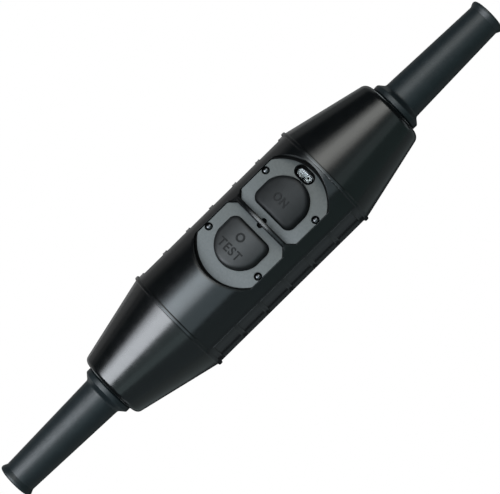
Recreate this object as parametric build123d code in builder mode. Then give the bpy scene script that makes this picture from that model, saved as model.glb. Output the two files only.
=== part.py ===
from build123d import *
import os
from math import cos, radians, sin

# In-line portable residual-current switch for a flexible cable.
# X runs along the cable, towards the ON button. Z points up out of the two plates.
# The origin lies in the flat underside, below the middle of the body. Lengths are in millimetres.

os.makedirs("parts", exist_ok=True)

# General
overrun = 1.0
seat_gap = 0.1
soft_gap = 0.3

# Body
overall_length = 331.5
body_length = 196.5
body_radius = 29.25
end_radius = 18.5
test_end_fillet = 3.0
on_end_fillet = 4.0
ring_height = 1.0
ring_width = 2.0
ring_gap = 2.6
ring_fillet = 0.5
flat_depth = 1.75
wall = 2.6
end_wall = 3.0
floor_thickness = 3.0

# Grip zones in the sides of the upper shell
grip_rib_count = 7
grip_end_gap = 2.61
grip_rib_width = 2.0
grip_depth = 1.0
grip_runout = 4.0
grip_angle = 28.0

# Two pockets with the plates, mirrored about the web between them
pair_centre = 12.15
deck_depth = 8.55
plate_thickness = 1.6
plate_gap = 2.5
plate_reach = 36.25
plate_arc_radius = 24.6
plate_width = 39.4
plate_corner = 3.2
plate_clearance = 0.3
plate_notch_radius = 1.6
gasket_thickness = 0.5
deck_thickness = 4.8
deck_wall = 2.6
deck_draft = 3.0

# Plate screws
plate_screw_inset = 16.65
plate_screw_edge = 1.9
plate_screw_head_radius = 1.75
plate_screw_head_height = 1.4
plate_screw_seat_radius = 2.1
plate_screw_seat_depth = 0.8
plate_screw_radius = 1.2
plate_screw_depth = 5.6

# Push buttons
button_start = 5.6
button_inset = 8.65
button_arc_length = 10.6
button_width = 26.0
button_corner = 4.0
button_blend = 8.0
button_height = 3.0
button_round = 1.6
button_wall = 1.8
button_top = 2.0
button_flange = 1.5
button_flange_thickness = 1.0
button_flange_cut = 3.6
button_travel = 2.0
button_clearance = 0.3
well_floor = 2.0
stem_radius = 2.0
stem_disc_radius = 5.5
stem_disc_thickness = 1.0
button_spring_radius = 4.0
button_spring_wire = 0.6

# Indicator
window_inset = 4.65
window_shift = 2.3
window_length = 12.0
window_width = 7.0
window_depth = 2.4
lens_length = 8.8
lens_width = 4.2
lens_sink = 1.1
lens_clearance = 0.05
lens_flange_thickness = 1.0
lens_round = 0.6
led_radius = 2.5
led_round = 1.5
led_gap = 0.5

# Circuit board
board_length = 74.0
board_width = 34.0
board_thickness = 1.6
board_corner = 2.0
board_drop = 6.3
board_post_inset = 4.0
board_post_side = 4.5
board_post_radius = 2.8
board_screw_radius = 1.1
board_screw_length = 5.0
board_screw_head_radius = 2.2
board_screw_head_height = 1.4
switch_side = 6.2
switch_height = 3.4
switch_key_radius = 1.75
switch_key_height = 0.6
chip_length = 10.0
chip_width = 7.0
chip_height = 1.6
chip_shift = -9.5
capacitor_radius = 2.9
capacitor_length = 14.0
capacitor_round = 0.8
capacitor_shift = 9.0
varistor_radius = 5.0
varistor_height = 4.0
varistor_inset = 8.5
resistor_radius = 1.3
resistor_length = 8.0

# Cable sleeves
cable_bore_radius = 5.5
sleeve_neck_radius = 10.5
sleeve_foot_radius = 13.5
sleeve_foot_length = 4.0
sleeve_flange_radius = 14.1
sleeve_flange_length = 3.1
sleeve_shoulder_length = 2.7
sleeve_root_radius = 10.9
sleeve_tip_radius = 9.0
sleeve_lip_radius = 10.0
sleeve_lip_length = 1.6
sleeve_flare_length = 2.2
sleeve_round = 1.0
sleeve_shoulder_round = 2.0

# Housing screws
tower_board_gap = 4.25
tower_end_inset = 9.75
tower_middle_inset = 7.25
tower_radius = 4.2
boss_radius = 3.6
boss_height = 14.0
housing_screw_radius = 1.5
housing_screw_hole_radius = 1.7
housing_screw_head_radius = 2.7
housing_screw_head_height = 2.4
housing_screw_recess_radius = 2.9
housing_screw_seat = 10.0
housing_screw_grip = 9.0

# Seal between the shells
seal_width = 0.8
seal_depth = 0.8
seal_inset = 1.4
seal_end_inset = 12.25

# Current transformer
transformer_gap = 5.05
transformer_lift = 0.7
core_radius = 15.8
core_bore_radius = 10.0
core_length = 10.0
winding_thickness = 1.1
winding_angle = 140.0
cradle_length = 14.0
cradle_width = 28.0
cradle_drop = 5.0

# Conductors
bar_drop = 1.5
bar_width = 4.0
bar_thickness = 1.2
pole_spread = 10.0
bar_pass_spread = 4.0
bar_bend_gap = 3.9
bar_bend_share = 2 / 3
bar_split_gap = 1.9
bar_split_length = 8.0
contact_end = 5.5
wire_grip = 1.5
earth_radius = 1.3
earth_shift = 15.8
earth_lift = 6.5
earth_bend_inset = 1.0
earth_bend_radius = 5.0

# Contact set
contact_reach = 7.5
contact_radius = 1.8
fixed_contact_height = 1.0
moving_contact_height = 0.8
contact_strip_width = 4.5
contact_strip_thickness = 0.8
contact_strip_overlap = 2.0
contact_travel = 3.0
contact_play = 0.05
carrier_beam_width = 8.0
carrier_beam_height = 4.15
carrier_beam_overhang = 3.3
carrier_hub_radius = 4.4
carrier_hub_height = 2.3
carrier_spring_radius = 3.9
carrier_spring_wire = 0.6
block_length = 32.0
block_width = 33.0
block_thickness = 1.5
block_hole_radius = 4.4
upright_length = 10.0
upright_thickness = 2.2
hook_height = 1.4
hook_overlap = 1.0
block_screw_reach = 13.4
block_screw_radius = 1.1
block_screw_length = 6.0
block_screw_head_radius = 2.0
block_screw_head_height = 1.3
block_post_radius = 2.2

# Relay magnet
yoke_length = 22.0
yoke_width = 12.0
yoke_thickness = 1.5
bobbin_radius = 9.2
bobbin_flange = 1.0
bobbin_hub_radius = 4.2
winding_radius = 8.0
plunger_radius = 2.6
plunger_clearance = 0.3
plunger_stop_gap = 0.5
plunger_grip = 2.15

# Terminals
terminal_length = 14.0
terminal_width = 30.0
terminal_height = 15.0
terminal_floor = 1.6
terminal_lip = 1.2
terminal_lip_height = 2.0
terminal_pad_width = 18.0
clamp_body_length = 8.0
clamp_body_width = 7.0
clamp_body_height = 9.0
clamp_body_clearance = 0.15
wire_hole_radius = 2.1
terminal_screw_radius = 1.5
terminal_screw_head_radius = 2.4
terminal_screw_head_height = 1.8
terminal_screw_lift = 0.8
hold_down_thickness = 1.5
hold_down_width = 20.0
hold_down_gap = 0.2
hold_down_inset = 0.5

# Strain relief
strain_inset = 14.25
strain_length = 5.0
strain_width = 26.0
strain_level = 1.0
strain_bar_height = 7.0
strain_bore_radius = 5.6
strain_screw_spread = 19.0
strain_screw_radius = 1.2
strain_screw_length = 15.0
strain_screw_head_radius = 2.6
strain_screw_head_height = 2.0

# Derived places
half_body = body_length / 2
half_inside = half_body - end_wall
axis_height = body_radius - flat_depth
plate_level = body_radius - deck_depth
ring_radius = body_radius + ring_height
ring_offset = pair_centre + plate_reach + ring_gap
ring_outer = ring_offset + ring_width / 2
ring_inner = ring_offset - ring_width / 2
cone_slope = (body_radius - end_radius) / (half_body - ring_outer)
inner_radius = body_radius - wall
inner_end_radius = inner_radius - cone_slope * (half_inside - ring_outer)
floor_level = floor_thickness - axis_height
grip_rib_pitch = 2 * (ring_offset - grip_end_gap) / (grip_rib_count - 1)
seal_length = body_length - 2 * seal_end_inset
neck_hole_radius = sleeve_neck_radius + soft_gap
plate_arc_centre = plate_reach - plate_arc_radius
plate_straight_reach = plate_arc_centre + (
    (plate_arc_radius + plate_clearance) ** 2 - (plate_width / 2 + plate_clearance) ** 2
) ** 0.5
gasket_level = plate_level - plate_thickness
screw_seat_level = plate_level - plate_screw_seat_depth
recess_level = gasket_level - gasket_thickness
deck_underside = recess_level - deck_thickness
well_level = deck_underside + well_floor
button_reach = plate_reach - button_inset
button_arc_start = button_reach - button_arc_length
button_flange_reach = button_reach - button_flange_cut
button_centre = (button_start + button_reach) / 2
window_reach = plate_reach - window_inset
flange_level = gasket_level - seat_gap - button_flange_thickness
button_top_level = plate_level + button_height
button_ceiling = button_top_level - button_top
board_level = deck_underside - board_drop
board_reach = board_length / 2
board_post_reach = board_reach - board_post_inset
switch_top_level = board_level + switch_height + switch_key_height
stem_end_level = switch_top_level + button_travel + seat_gap
transformer_level = floor_level + core_radius + transformer_lift
transformer_reach = core_length / 2 + winding_thickness
transformer_place = pair_centre - board_reach - transformer_gap - transformer_reach
bar_level = transformer_level - bar_drop
bar_top_level = bar_level + bar_thickness
block_level = bar_level - block_thickness
fixed_contact_level = bar_top_level + fixed_contact_height
moving_contact_level = fixed_contact_level + contact_travel + contact_play
strip_level = moving_contact_level + moving_contact_height
beam_level = strip_level + contact_strip_thickness
beam_top_level = beam_level + carrier_beam_height
hub_level = beam_level - carrier_hub_height
beam_end = pole_spread + carrier_beam_overhang
yoke_inside_level = floor_level + yoke_thickness
bobbin_height = block_level - yoke_thickness - yoke_inside_level
plunger_end_level = yoke_inside_level + contact_travel + plunger_stop_gap
wire_level = bar_level + bar_thickness / 2
clamp_body_level = wire_level - clamp_body_height / 2
terminal_foot_level = clamp_body_level - terminal_floor
terminal_top_level = terminal_foot_level + terminal_height
strain_place = half_body - strain_inset
bar_bend_end = transformer_reach + bar_bend_gap - transformer_place
terminal_place = (bar_bend_end + strain_place) / 2
terminal_face = terminal_place - terminal_length / 2
bar_bend_start = bar_bend_end + bar_bend_share * (terminal_face - bar_bend_end)
bar_split_start = -transformer_place - transformer_reach - bar_split_gap
bar_split_end = bar_split_start - bar_split_length
earth_run = bar_bend_end - earth_bend_inset
strain_top_level = strain_level + strain_bar_height

body_axis = Axis((0, 0, axis_height), (1, 0, 0))
long_section = Plane(origin=(0, 0, axis_height), x_dir=(1, 0, 0), z_dir=(0, -1, 0))
cross_section = Plane(origin=(0, 0, axis_height), x_dir=(0, 1, 0), z_dir=(1, 0, 0))

tower_end_reach = pair_centre + board_reach + tower_board_gap + boss_radius
tower_end_shift = body_radius - tower_end_inset
tower_middle_shift = body_radius - tower_middle_inset
housing_screw_places = [
    (tower_end_reach, tower_end_shift),
    (tower_end_reach, -tower_end_shift),
    (0, tower_middle_shift),
    (0, -tower_middle_shift),
    (-tower_end_reach, tower_end_shift),
    (-tower_end_reach, -tower_end_shift),
]
plate_screw_reach = plate_reach - plate_screw_inset
plate_screw_shift = plate_width / 2 - plate_screw_edge
plate_screw_places = [
    (pair_centre + side * plate_screw_reach, half * plate_screw_shift)
    for side in (-1, 1)
    for half in (-1, 1)
]
board_post_shift = board_width / 2 - board_post_side
board_post_places = [
    (pair_centre + side * board_post_reach, half * board_post_shift)
    for side in (-1, 1)
    for half in (-1, 1)
]


def level(height):
    """Horizontal plane at a height above the cable's axis."""
    return Plane.XY.offset(axis_height + height)


def plate_outline(height, side, margin=0):
    """D shape of one plate: straight towards the other plate, round away from it."""
    with BuildSketch(level(height)) as outline:
        with Locations((pair_centre + side * plate_arc_centre, 0)):
            Circle(plate_arc_radius)
        with Locations((pair_centre + side * (plate_gap / 2 + plate_reach) / 2, 0)):
            Rectangle(plate_reach - plate_gap / 2, plate_width, mode=Mode.INTERSECT)
        inner_corners = outline.vertices().group_by(Axis.X)[0 if side > 0 else -1]
        chamfer(inner_corners, plate_corner)
        if margin:
            offset(amount=margin, kind=Kind.INTERSECTION)
    return outline.sketch


def button_outline(height, side, margin=0):
    """D shape of one button, concentric with its plate's opening."""
    with BuildSketch(level(height)) as outline:
        with BuildLine():
            inner = pair_centre + side * button_start
            bend = pair_centre + side * button_arc_start
            tip = pair_centre + side * button_reach
            Polyline(
                (bend, button_width / 2),
                (inner, button_width / 2),
                (inner, -button_width / 2),
                (bend, -button_width / 2),
            )
            ThreePointArc((bend, -button_width / 2), (tip, 0), (bend, button_width / 2))
        make_face()
        corners = outline.vertices().group_by(Axis.X)
        fillet(corners[0 if side > 0 else -1], button_corner)
        bends = outline.vertices().filter_by_position(Axis.X, bend - seat_gap, bend + seat_gap)
        fillet(bends, button_blend)
        if margin:
            offset(amount=margin)
    return outline.sketch


def well_outline(height, side, margin=0):
    """Button shape with the wider part that its flange needs."""
    with BuildSketch(level(height)) as outline:
        add(button_outline(height, side, button_flange + margin))
        with Locations((pair_centre + side * (button_flange_reach + margin) / 2, 0)):
            Rectangle(button_flange_reach + margin, plate_width, mode=Mode.INTERSECT)
        add(button_outline(height, side, margin))
    return outline.sketch


def window_outline(height, length, width):
    """Oval of the indicator, long across the body."""
    with BuildSketch(level(height)) as outline:
        with Locations((pair_centre + window_reach, window_shift)):
            SlotOverall(length, width, rotation=90)
    return outline.sketch


def rounds(height, places, radius):
    """Equal circles at a height."""
    with BuildSketch(level(height)) as circles:
        with Locations(*places):
            Circle(radius)
    return circles.sketch


def side_outline(margin):
    """Outline of the body in the joint between the shells, drawn in by a margin."""
    with BuildSketch(level(0)) as outline:
        with BuildLine():
            Polyline(
                (-half_body, end_radius),
                (-ring_outer, body_radius),
                (ring_outer, body_radius),
                (half_body, end_radius),
                (half_body, -end_radius),
                (ring_outer, -body_radius),
                (-ring_outer, -body_radius),
                (-half_body, -end_radius),
                close=True,
            )
        make_face()
        offset(amount=-margin, kind=Kind.INTERSECTION)
    return outline.sketch


# Outer form of the whole body, flat below
with BuildPart() as outer_form:
    with BuildSketch(long_section) as body_profile:
        with BuildLine():
            Polyline(
                (-half_body, 0),
                (-half_body, end_radius),
                (-ring_outer, body_radius),
                (-ring_outer, ring_radius),
                (-ring_inner, ring_radius),
                (-ring_inner, body_radius),
                (ring_inner, body_radius),
                (ring_inner, ring_radius),
                (ring_outer, ring_radius),
                (ring_outer, body_radius),
                (half_body, end_radius),
                (half_body, 0),
                close=True,
            )
        make_face()
        fillet(body_profile.vertices().group_by(Axis.X)[0].sort_by(Axis.Y)[-1], test_end_fillet)
        fillet(body_profile.vertices().group_by(Axis.X)[-1].sort_by(Axis.Y)[-1], on_end_fillet)
        fillet(body_profile.vertices().group_by(Axis.Y)[-1], ring_fillet)
    revolve(axis=body_axis)
    split(bisect_by=Plane.XY, keep=Keep.TOP)

# Space inside the body, with the holes that the sleeves sit in
with BuildPart() as cavity:
    with BuildSketch(long_section):
        with BuildLine():
            Polyline(
                (-half_inside, 0),
                (-half_inside, inner_end_radius),
                (-ring_outer, inner_radius),
                (ring_outer, inner_radius),
                (half_inside, inner_end_radius),
                (half_inside, 0),
                close=True,
            )
        make_face()
    revolve(axis=body_axis)
    split(bisect_by=level(floor_level), keep=Keep.TOP)
    with BuildSketch(cross_section.offset(-half_body - overrun)):
        Circle(neck_hole_radius)
    extrude(amount=body_length + 2 * overrun)

# Everything that stands up from the lower shell's wall, cut to the body's form
with BuildPart() as lower_supports:
    extrude(rounds(0, housing_screw_places, tower_radius), amount=-axis_height)
    extrude(
        rounds(block_level, [(-block_screw_reach, 0), (block_screw_reach, 0)], block_post_radius),
        amount=-axis_height,
    )
    with BuildSketch(level(transformer_level - cradle_drop)):
        with Locations((transformer_place, 0)):
            Rectangle(cradle_length, cradle_width)
    extrude(amount=-axis_height)
    with BuildSketch(cross_section.offset(transformer_place - cradle_length)):
        with Locations((0, transformer_level)):
            Circle(core_radius + seat_gap)
    extrude(amount=2 * cradle_length, mode=Mode.SUBTRACT)
    with BuildSketch(level(terminal_foot_level + terminal_lip_height)):
        with Locations((-terminal_place, 0), (terminal_place, 0)):
            Rectangle(terminal_length + 2 * terminal_lip, terminal_pad_width)
    extrude(amount=-axis_height)
    with BuildSketch(level(terminal_foot_level)):
        with Locations((-terminal_place, 0), (terminal_place, 0)):
            Rectangle(terminal_length + 2 * seat_gap, terminal_pad_width + 2 * overrun)
    extrude(amount=terminal_lip_height + overrun, mode=Mode.SUBTRACT)
    with BuildSketch(level(strain_level)):
        with Locations((-strain_place, 0), (strain_place, 0)):
            Rectangle(strain_length, strain_width)
    extrude(amount=-axis_height)
    for side in (-1, 1):
        with BuildSketch(cross_section.offset(side * strain_place - strain_length)):
            Circle(strain_bore_radius)
        extrude(amount=2 * strain_length, mode=Mode.SUBTRACT)
    add(outer_form.part, mode=Mode.INTERSECT)

# Bays of the grip zones: even in depth in the upper shell, running out in the lower one
grip_bottom = body_radius - grip_depth
grip_outside = body_radius + overrun
grip_edge = (cos(radians(grip_angle)), sin(radians(grip_angle)))
grip_starts = [
    grip_rib_pitch * (bay - (grip_rib_count - 1) / 2) + grip_rib_width / 2
    for bay in range(grip_rib_count - 1)
]
with BuildPart() as grip_bays:
    for bay_start in grip_starts:
        for side in (-1, 1):
            with BuildSketch(cross_section.offset(bay_start)):
                with BuildLine():
                    RadiusArc(
                        (side * grip_bottom, 0),
                        (side * grip_bottom * grip_edge[0], grip_bottom * grip_edge[1]),
                        -side * grip_bottom,
                    )
                    Line(
                        (side * grip_bottom * grip_edge[0], grip_bottom * grip_edge[1]),
                        (side * grip_outside * grip_edge[0], grip_outside * grip_edge[1]),
                    )
                    RadiusArc(
                        (side * grip_outside * grip_edge[0], grip_outside * grip_edge[1]),
                        (side * grip_outside, 0),
                        side * grip_outside,
                    )
                    Line((side * grip_outside, 0), (side * grip_bottom, 0))
                make_face()
            extrude(amount=grip_rib_pitch - grip_rib_width)
with BuildPart() as grip_runouts:
    for bay_start in grip_starts:
        for side in (-1, 1):
            with BuildSketch(cross_section.offset(bay_start)):
                with BuildLine():
                    Polyline(
                        (side * grip_bottom, 0),
                        (side * grip_outside, 0),
                        (side * grip_outside, -grip_runout),
                        close=True,
                    )
                make_face()
            extrude(amount=grip_rib_pitch - grip_rib_width)

# Lower shell
with BuildPart() as lower_shell:
    add(outer_form.part)
    split(bisect_by=level(0), keep=Keep.BOTTOM)
    add(cavity.part, mode=Mode.SUBTRACT)
    add(lower_supports.part)
    extrude(rounds(0, housing_screw_places, housing_screw_hole_radius), amount=-axis_height,
            mode=Mode.SUBTRACT)
    extrude(rounds(-housing_screw_seat, housing_screw_places, housing_screw_recess_radius),
            amount=-axis_height, mode=Mode.SUBTRACT)
    extrude(
        rounds(block_level, [(-block_screw_reach, 0), (block_screw_reach, 0)], block_screw_radius),
        amount=block_thickness - block_screw_length,
        mode=Mode.SUBTRACT,
    )
    for side in (-1, 1):
        with BuildSketch(level(strain_level)):
            with Locations((side * strain_place, 0)):
                with GridLocations(0, strain_screw_spread, 1, 2):
                    Circle(strain_screw_radius)
        extrude(amount=strain_bar_height - strain_screw_length, mode=Mode.SUBTRACT)
    with BuildSketch(level(0)):
        add(side_outline(seal_inset))
        add(side_outline(seal_inset + seal_width), mode=Mode.SUBTRACT)
        Rectangle(seal_length, 2 * body_radius, mode=Mode.INTERSECT)
    extrude(amount=-seal_depth, mode=Mode.SUBTRACT)
    add(grip_runouts.part, mode=Mode.SUBTRACT)
lower_shell.part.label = "lower_shell"
export_step(lower_shell.part, "parts/lower_shell.step")

# Solid deck below the plates, bosses and ribs of the upper shell, cut to the body's form
with BuildPart() as upper_supports:
    with BuildSketch(level(deck_underside)):
        with Locations((pair_centre, 0)):
            SlotCenterToCenter(2 * plate_arc_centre, 2 * (plate_arc_radius + deck_wall))
    extrude(amount=body_radius)
    extrude(rounds(0, housing_screw_places, boss_radius), amount=boss_height)
    extrude(rounds(board_level, board_post_places, board_post_radius), amount=board_drop)
    hold_down_place = terminal_place - (terminal_length - hold_down_thickness) / 2 + hold_down_inset
    with BuildSketch(level(terminal_top_level + hold_down_gap)):
        with Locations((-hold_down_place, 0), (hold_down_place, 0)):
            Rectangle(hold_down_thickness, hold_down_width)
    extrude(amount=body_radius)
    add(outer_form.part, mode=Mode.INTERSECT)

# Web between the plates and rims along their straight sides, up to the body's round form
with BuildPart() as plate_web:
    with BuildSketch(level(plate_level)):
        with Locations((pair_centre, 0)):
            Rectangle(2 * plate_straight_reach, 2 * body_radius)
        for side in (-1, 1):
            add(plate_outline(plate_level, side, plate_clearance), mode=Mode.SUBTRACT)
    extrude(amount=body_radius)
    add(outer_form.part, mode=Mode.INTERSECT)

# Upper shell
with BuildPart() as upper_shell:
    add(outer_form.part)
    split(bisect_by=level(0), keep=Keep.TOP)
    add(cavity.part, mode=Mode.SUBTRACT)
    add(upper_supports.part)
    with BuildSketch(level(plate_level)):
        with Locations((pair_centre, 0)):
            SlotCenterToCenter(2 * plate_arc_centre, 2 * (plate_arc_radius + plate_clearance))
    extrude(amount=body_radius, taper=-deck_draft, mode=Mode.SUBTRACT)
    for side in (-1, 1):
        extrude(plate_outline(recess_level, side, plate_clearance), amount=body_radius,
                mode=Mode.SUBTRACT)
        extrude(well_outline(well_level, side, button_clearance), amount=body_radius,
                mode=Mode.SUBTRACT)
    stem_places = [(pair_centre + side * button_centre, 0) for side in (-1, 1)]
    extrude(rounds(well_level, stem_places, stem_radius + button_clearance), amount=-body_radius,
            mode=Mode.SUBTRACT)
    extrude(
        window_outline(deck_underside, lens_length + 2 * lens_clearance, lens_width + 2 * lens_clearance),
        amount=body_radius,
        mode=Mode.SUBTRACT,
    )
    extrude(window_outline(recess_level - window_depth, window_length, window_width),
            amount=body_radius, mode=Mode.SUBTRACT)
    extrude(rounds(plate_level, plate_screw_places, plate_screw_radius), amount=-plate_screw_depth,
            mode=Mode.SUBTRACT)
    extrude(rounds(0, housing_screw_places, housing_screw_radius), amount=housing_screw_grip,
            mode=Mode.SUBTRACT)
    extrude(rounds(board_level, board_post_places, board_screw_radius),
            amount=board_screw_length - board_thickness, mode=Mode.SUBTRACT)
    add(grip_bays.part, mode=Mode.SUBTRACT)
    add(plate_web.part)
upper_shell.part.label = "upper_shell"
export_step(upper_shell.part, "parts/upper_shell.step")

# Sealing cords in the joint between the shells
with BuildPart() as shell_seals:
    with BuildSketch(level(0)):
        add(side_outline(seal_inset))
        add(side_outline(seal_inset + seal_width), mode=Mode.SUBTRACT)
        Rectangle(seal_length, 2 * body_radius, mode=Mode.INTERSECT)
    extrude(amount=-seal_depth)
shell_seals.part.label = "shell_seals"
export_step(shell_seals.part, "parts/shell_seals.step")

# Screws that close the body from below
with BuildPart() as housing_screws:
    extrude(rounds(-housing_screw_seat, housing_screw_places, housing_screw_radius),
            amount=housing_screw_seat + housing_screw_grip)
    extrude(rounds(-housing_screw_seat, housing_screw_places, housing_screw_head_radius),
            amount=-housing_screw_head_height)
housing_screws.part.label = "housing_screws"
export_step(housing_screws.part, "parts/housing_screws.step")

# Cover plates and the gaskets below them
for side, name in ((-1, "test"), (1, "on")):
    screw_places = [place for place in plate_screw_places if side * (place[0] - pair_centre) > 0]
    notch_place = [(pair_centre + side * plate_gap / 2, 0)]
    with BuildPart() as plate:
        extrude(plate_outline(gasket_level, side), amount=plate_thickness)
        extrude(button_outline(gasket_level, side, button_clearance), amount=plate_thickness,
                mode=Mode.SUBTRACT)
        extrude(rounds(gasket_level, screw_places, plate_screw_radius), amount=plate_thickness,
                mode=Mode.SUBTRACT)
        extrude(rounds(screw_seat_level, screw_places, plate_screw_seat_radius), amount=plate_thickness,
                mode=Mode.SUBTRACT)
        extrude(rounds(gasket_level, notch_place, plate_notch_radius), amount=plate_thickness,
                mode=Mode.SUBTRACT)
        if side > 0:
            extrude(window_outline(gasket_level, window_length, window_width),
                    amount=plate_thickness, mode=Mode.SUBTRACT)
    plate.part.label = f"{name}_plate"
    export_step(plate.part, f"parts/{name}_plate.step")

    with BuildPart() as gasket:
        extrude(plate_outline(recess_level, side), amount=gasket_thickness)
        extrude(well_outline(recess_level, side, button_clearance), amount=gasket_thickness,
                mode=Mode.SUBTRACT)
        extrude(rounds(recess_level, screw_places, plate_screw_radius), amount=gasket_thickness,
                mode=Mode.SUBTRACT)
        extrude(rounds(recess_level, notch_place, plate_notch_radius), amount=gasket_thickness,
                mode=Mode.SUBTRACT)
        if side > 0:
            extrude(window_outline(recess_level, window_length, window_width),
                    amount=gasket_thickness, mode=Mode.SUBTRACT)
    gasket.part.label = f"{name}_gasket"
    export_step(gasket.part, f"parts/{name}_gasket.step")

# Dome-headed screws in the plates
with BuildPart() as plate_screw:
    with BuildSketch(Plane.XZ):
        with BuildLine():
            Polyline(
                (0, plate_screw_head_height),
                (0, plate_screw_seat_depth - plate_screw_depth),
                (plate_screw_radius, plate_screw_seat_depth - plate_screw_depth),
                (plate_screw_radius, 0),
                (plate_screw_head_radius, 0),
            )
            TangentArc((0, plate_screw_head_height), (plate_screw_head_radius, 0), tangent=(1, 0))
        make_face()
    revolve(axis=Axis.Z)
with BuildPart() as plate_screws:
    with Locations(*[(x, y, axis_height + screw_seat_level) for x, y in plate_screw_places]):
        add(plate_screw.part)
plate_screws.part.label = "plate_screws"
export_step(plate_screws.part, "parts/plate_screws.step")

# Rubber buttons, their stems and their return springs
for side, name in ((-1, "test"), (1, "on")):
    stem_place = [(pair_centre + side * button_centre, 0)]
    with BuildPart() as button:
        extrude(button_outline(flange_level, side), amount=button_top_level - flange_level)
        fillet(button.faces().sort_by(Axis.Z)[-1].edges(), button_round)
        extrude(well_outline(flange_level, side), amount=button_flange_thickness)
        extrude(button_outline(flange_level, side, -button_wall), amount=button_ceiling - flange_level,
                mode=Mode.SUBTRACT)
    button.part.label = f"{name}_button"
    export_step(button.part, f"parts/{name}_button.step")

    with BuildPart() as stem:
        extrude(rounds(button_ceiling, stem_place, stem_disc_radius), amount=-stem_disc_thickness)
        extrude(rounds(button_ceiling, stem_place, stem_radius), amount=stem_end_level - button_ceiling)
    stem.part.label = f"{name}_plunger"
    export_step(stem.part, f"parts/{name}_plunger.step")

    with BuildPart() as spring:
        spring_length = button_ceiling - stem_disc_thickness - well_level
        extrude(rounds(well_level, stem_place, button_spring_radius), amount=spring_length)
        extrude(rounds(well_level, stem_place, button_spring_radius - button_spring_wire),
                amount=spring_length, mode=Mode.SUBTRACT)
    spring.part.label = f"{name}_spring"
    export_step(spring.part, f"parts/{name}_spring.step")

    with BuildPart() as switch:
        with BuildSketch(level(board_level)):
            with Locations(*stem_place):
                Rectangle(switch_side, switch_side)
        extrude(amount=switch_height)
        extrude(rounds(board_level + switch_height, stem_place, switch_key_radius), amount=switch_key_height)
    switch.part.label = f"{name}_switch"
    export_step(switch.part, f"parts/{name}_switch.step")

# Clear light guide in the ON plate's window, and the lamp below it
window_place = [(pair_centre + window_reach, window_shift)]
with BuildPart() as indicator_lens:
    extrude(window_outline(deck_underside, lens_length, lens_width),
            amount=plate_level - lens_sink - deck_underside)
    fillet(indicator_lens.faces().sort_by(Axis.Z)[-1].edges(), lens_round)
    extrude(window_outline(deck_underside, window_length, window_width), amount=-lens_flange_thickness)
indicator_lens.part.label = "indicator_lens"
export_step(indicator_lens.part, "parts/indicator_lens.step")

with BuildPart() as status_led:
    extrude(rounds(board_level, window_place, led_radius),
            amount=deck_underside - lens_flange_thickness - led_gap - board_level)
    fillet(status_led.faces().sort_by(Axis.Z)[-1].edges(), led_round)
status_led.part.label = "status_led"
export_step(status_led.part, "parts/status_led.step")

# Circuit board, hung from the deck's posts
with BuildPart() as circuit_board:
    with BuildSketch(level(board_level)):
        with Locations((pair_centre, 0)):
            RectangleRounded(board_length, board_width, board_corner)
    extrude(amount=-board_thickness)
    extrude(rounds(board_level, board_post_places, board_screw_radius), amount=-board_thickness,
            mode=Mode.SUBTRACT)
circuit_board.part.label = "circuit_board"
export_step(circuit_board.part, "parts/circuit_board.step")

with BuildPart() as board_screws:
    extrude(rounds(board_level - board_thickness, board_post_places, board_screw_radius),
            amount=board_screw_length)
    extrude(rounds(board_level - board_thickness, board_post_places, board_screw_head_radius),
            amount=-board_screw_head_height)
board_screws.part.label = "board_screws"
export_step(board_screws.part, "parts/board_screws.step")

# Larger components of the board
with BuildPart() as control_chip:
    with BuildSketch(level(board_level)):
        with Locations((pair_centre, chip_shift)):
            Rectangle(chip_length, chip_width)
    extrude(amount=chip_height)
control_chip.part.label = "control_chip"
export_step(control_chip.part, "parts/control_chip.step")

with BuildPart() as supply_capacitor:
    with BuildSketch(cross_section.offset(pair_centre - capacitor_length / 2)):
        with Locations((capacitor_shift, board_level + capacitor_radius)):
            Circle(capacitor_radius)
    extrude(amount=capacitor_length)
    fillet(supply_capacitor.faces().sort_by(Axis.X)[-1].edges(), capacitor_round)
supply_capacitor.part.label = "supply_capacitor"
export_step(supply_capacitor.part, "parts/supply_capacitor.step")

with BuildPart() as surge_varistor:
    extrude(rounds(board_level, [(pair_centre - board_reach + varistor_inset, 0)], varistor_radius),
            amount=varistor_height)
surge_varistor.part.label = "surge_varistor"
export_step(surge_varistor.part, "parts/surge_varistor.step")

with BuildPart() as test_resistor:
    with BuildSketch(cross_section.offset(pair_centre - resistor_length / 2)):
        with Locations((0, board_level + resistor_radius)):
            Circle(resistor_radius)
    extrude(amount=resistor_length)
test_resistor.part.label = "test_resistor"
export_step(test_resistor.part, "parts/test_resistor.step")

# Summation current transformer, which both switched poles run through
with BuildPart() as transformer_core:
    with BuildSketch(cross_section.offset(transformer_place - core_length / 2)):
        with Locations((0, transformer_level)):
            Circle(core_radius)
            Circle(core_bore_radius, mode=Mode.SUBTRACT)
    extrude(amount=core_length)
transformer_core.part.label = "transformer_core"
export_step(transformer_core.part, "parts/transformer_core.step")

with BuildPart() as transformer_winding:
    with BuildSketch(cross_section.offset(transformer_place - core_length / 2 - winding_thickness)):
        with BuildLine():
            winding_start = 90 - winding_angle / 2
            outside = CenterArc((0, transformer_level), core_radius + winding_thickness,
                                winding_start, winding_angle)
            inside = CenterArc((0, transformer_level), core_bore_radius - winding_thickness,
                               winding_start, winding_angle)
            Line(outside @ 0, inside @ 0)
            Line(outside @ 1, inside @ 1)
        make_face()
    extrude(amount=core_length + 2 * winding_thickness)
    add(transformer_core.part, mode=Mode.SUBTRACT)
transformer_winding.part.label = "transformer_winding"
export_step(transformer_winding.part, "parts/transformer_winding.step")

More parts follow.
